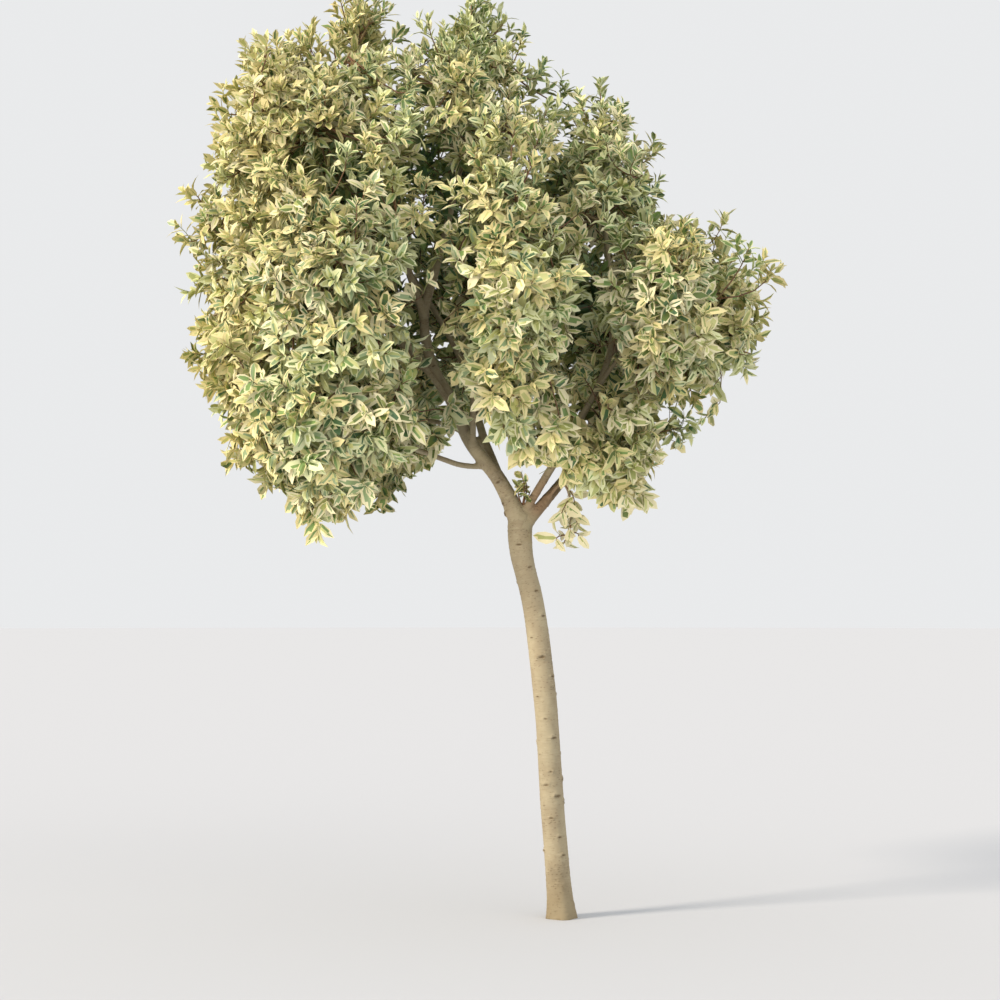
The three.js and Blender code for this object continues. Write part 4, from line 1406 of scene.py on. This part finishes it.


# A tint for each place, more often a warm one where the leaves' own warm tone and the painted
# sunlight are high.
def dealTints(tints, tintAndPaintedSun, random):
    often, warm = (np.array([tint[column] for tint in tints]) for column in (2, 3))
    reached = np.cumsum(often * np.exp(warm * tintAndPaintedSun[:, None]), axis=1)
    return (random.random(len(tintAndPaintedSun))[:, None] * reached[:, -1:] > reached).sum(axis=1)


# Leaf tints by place, partly their own tone and partly painted light: warm as painted sunlight at
# the crown's left edge, cool as painted shade on its upper right. Places are shares of its half
# size.
crownPaintedLight = {
    "leftEdge": (3.0, 0.45, 0.62),  # strength, how much it leans in at the top, and place
    "rightEdge": (1.6, 0.45),  # strength and place
    "cooler": (0.35, 0.3, 0.3),  # to the right, to the top and to the back
    "fronts": ((0.1, 0.38, 0.18), (-0.6, -0.42, 0.25)),  # strength, place and width, lower down
    "frontTop": 0.5,
    "most": 1.4,
}


def tintAndPaintedSunAt(points):
    x, y, z = ((points - crown["middle"]) / crown["half"]).T
    (left, lean, leftAt), (right, rightAt) = crownPaintedLight["leftEdge"], crownPaintedLight["rightEdge"]
    tintAndPaintedSun = left * np.maximum(lean * np.maximum(z, 0) - x - leftAt, 0)
    tintAndPaintedSun = tintAndPaintedSun + right * np.maximum(x - rightAt, 0)
    for share, cooler in zip((x, z, y), crownPaintedLight["cooler"]):
        tintAndPaintedSun = tintAndPaintedSun - cooler * share
    front = sum(rise * np.exp(-((x - at) / wide) ** 2) for rise, at, wide in crownPaintedLight["fronts"])
    tintAndPaintedSun = tintAndPaintedSun + front * np.clip(crownPaintedLight["frontTop"] - z, 0, 1)
    return np.clip(tintAndPaintedSun, -crownPaintedLight["most"], crownPaintedLight["most"])


leafPieces = {
    "top_left": ["top_left_front", "top_left_back"],
    "top": ["top_centre", "top_right"],
    "back": ["back", "right_back"],
    "left": ["left_side", "left_front"],
    "low_left": ["low_left_front", "low_left_back"],
    "front": ["front", "right_front", "low_right", "hanging_sprig"],
    "right": ["right_tip"],
}


def leafMaterials():
    return [plainMaterial(f"waxy laurel leaf {part}, {name}", colour, roughness, {"IOR": 1.45})
            for part, tints, roughness in (("edge", leafEdges, 0.48), ("heart", leafHearts, 0.42))
            for name, colour, _, _ in tints]


def makeLeaves():
    random = np.random.default_rng(59)
    groups = [keptLeaves(placeLeaves(layer, random)) for layer in leafGrowth["perShoot"]]
    leaves = {key: np.concatenate([group[key] for group in groups]) for key in groups[0]}
    count = len(leaves["size"])
    print("leaves grown:", count)

    # Tints go by spray, but for a few leaves.
    # Painted light: tints follow painted sunlight on the left and painted shade on the upper right,
    # as well as the leaves' own tone.
    tintAndPaintedSun = tintAndPaintedSunAt(leaves["root"]) + leafGrowth["tintAndPaintedSunAlone"] * leaves["alone"]
    _, first = np.unique(leaves["spray"], return_index=True)
    place = np.zeros(sprayCount)
    place[leaves["spray"][first]] = tintAndPaintedSun[first]
    tint = np.empty((count, 3), int)
    for column, tints in enumerate((leafEdges, leafHearts, leafHearts)):
        bySpray = dealTints(tints, place, random)[leaves["spray"]]
        own = random.random(count) < leafGrowth["ownTint"]
        tint[:, column] = np.where(own, dealTints(tints, tintAndPaintedSun, random), bySpray)
    tint[:, 1:] += len(leafEdges)
    tint[leaves["green"], 0] = tint[leaves["green"], 1]  # no pale edge deep in the shade: partly real, as inner leaves are greener, and partly painted shade that darkens the crown's inside
    tint[leaves["pale"], 0] = 0  # the hanging sprig's are cream, partly their own colour and partly painted sunlight

    often = np.array([kind[-1] for kind in leaf["kinds"] * leaf["variants"]], float)
    kinds = random.choice(len(often), count, p=often / often.sum()) + len(often) * leaves["plain"]
    broad = [n for n, (_, _, _, green, _) in enumerate(leaf["kinds"]) if green < leaf["broadEdge"]]
    kinds[leaves["pale"]] = random.choice(broad, leaves["pale"].sum())
    across = np.cross(leaves["normal"], leaves["axis"])
    bases = np.stack([leaves["axis"], across, leaves["normal"]], axis=1)
    bases = bases * leaves["size"][:, None, None]
    slim = 1 - leaf["slimmer"] * riseInCrown(leaves["root"])
    bases[:, 1] *= (slim * random.uniform(*leaf["uneven"], count))[:, None]
    materials = leafMaterials()
    for name, massNames in leafPieces.items():
        nodes = ["foliage_" + massName for massName in massNames]
        here = np.isin(leaves["owner"], [massNamed[node]["number"] for node in nodes])
        parts = []
        for n, shape in enumerate(leafShapes):
            chosen = here & (kinds == n)
            corners = np.einsum("vk,nkj->nvj", shape["corners"], bases[chosen])
            corners += leaves["root"][chosen][:, None]
            parts.append({"corners": corners, "loops": shape["loops"], "sizes": shape["sizes"],
                          "tints": tint[chosen][:, shape["tints"]]})
        made = joinedObject("laurel_leaves_" + name, parts)
        for material in materials:
            made.data.materials.append(material)
        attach(made, "root")
        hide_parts(*nodes)


makeLeaves()

# A plain pale studio: a wide floor that runs on into the sky, a warm key from the front left, a
# small one from below it for the trunk and the fork, and a soft fill.
studio = {
    "floor": 60, "floorColour": "#cbcdd1", "sky": "#dedfe0", "skyStrength": 1.12,
    "keyTurn": (66, 0, -62), "keyAngle": 14, "keyStrength": 3.55, "keyColour": "#fff2e0",
    "fillTurn": (74, 0, 32), "fillAngle": 75, "fillStrength": 0.85, "fillColour": "#fffaf2",
    "stemLight": (-1.9, -2.6, 0.55), "stemAim": (-0.12, 0, 1.02), "stemPower": 205,
    "stemCone": 18, "stemSize": 0.25,
}


def makeStudio():
    deselectAll()
    bpy.ops.mesh.primitive_circle_add(vertices=96, radius=studio["floor"], fill_type="NGON")
    floor = bpy.context.object
    floor.name = "studio_floor"
    floor.data.materials.append(plainMaterial(
        "matt pale floor", studio["floorColour"], 0.9, {"Specular IOR Level": 0}))
    for name in ("key", "fill"):
        turn = [math.radians(angle) for angle in studio[name + "Turn"]]
        bpy.ops.object.light_add(type="SUN", location=(-3, -4, 4), rotation=turn)
        sun = bpy.context.object.data
        sun.energy = studio[name + "Strength"]
        sun.angle = math.radians(studio[name + "Angle"])
        sun.color = linear(studio[name + "Colour"])[:3]
    look = Vector(studio["stemAim"]) - Vector(studio["stemLight"])
    bpy.ops.object.light_add(type="SPOT", location=studio["stemLight"],
                             rotation=look.to_track_quat("-Z", "Y").to_euler())
    stemLight = bpy.context.object.data
    stemLight.energy = studio["stemPower"]
    stemLight.color = linear(studio["keyColour"])[:3]
    stemLight.spot_size = math.radians(studio["stemCone"])
    stemLight.spot_blend = 1
    stemLight.shadow_soft_size = studio["stemSize"]
    scene = bpy.context.scene
    scene.world = bpy.data.worlds.new("pale studio")
    scene.world.use_nodes = True
    background = scene.world.node_tree.nodes["Background"]
    background.inputs["Color"].default_value = linear(studio["sky"])
    background.inputs["Strength"].default_value = studio["skyStrength"]
    scene.view_settings.view_transform = "Standard"
    print("studio set")


makeStudio()
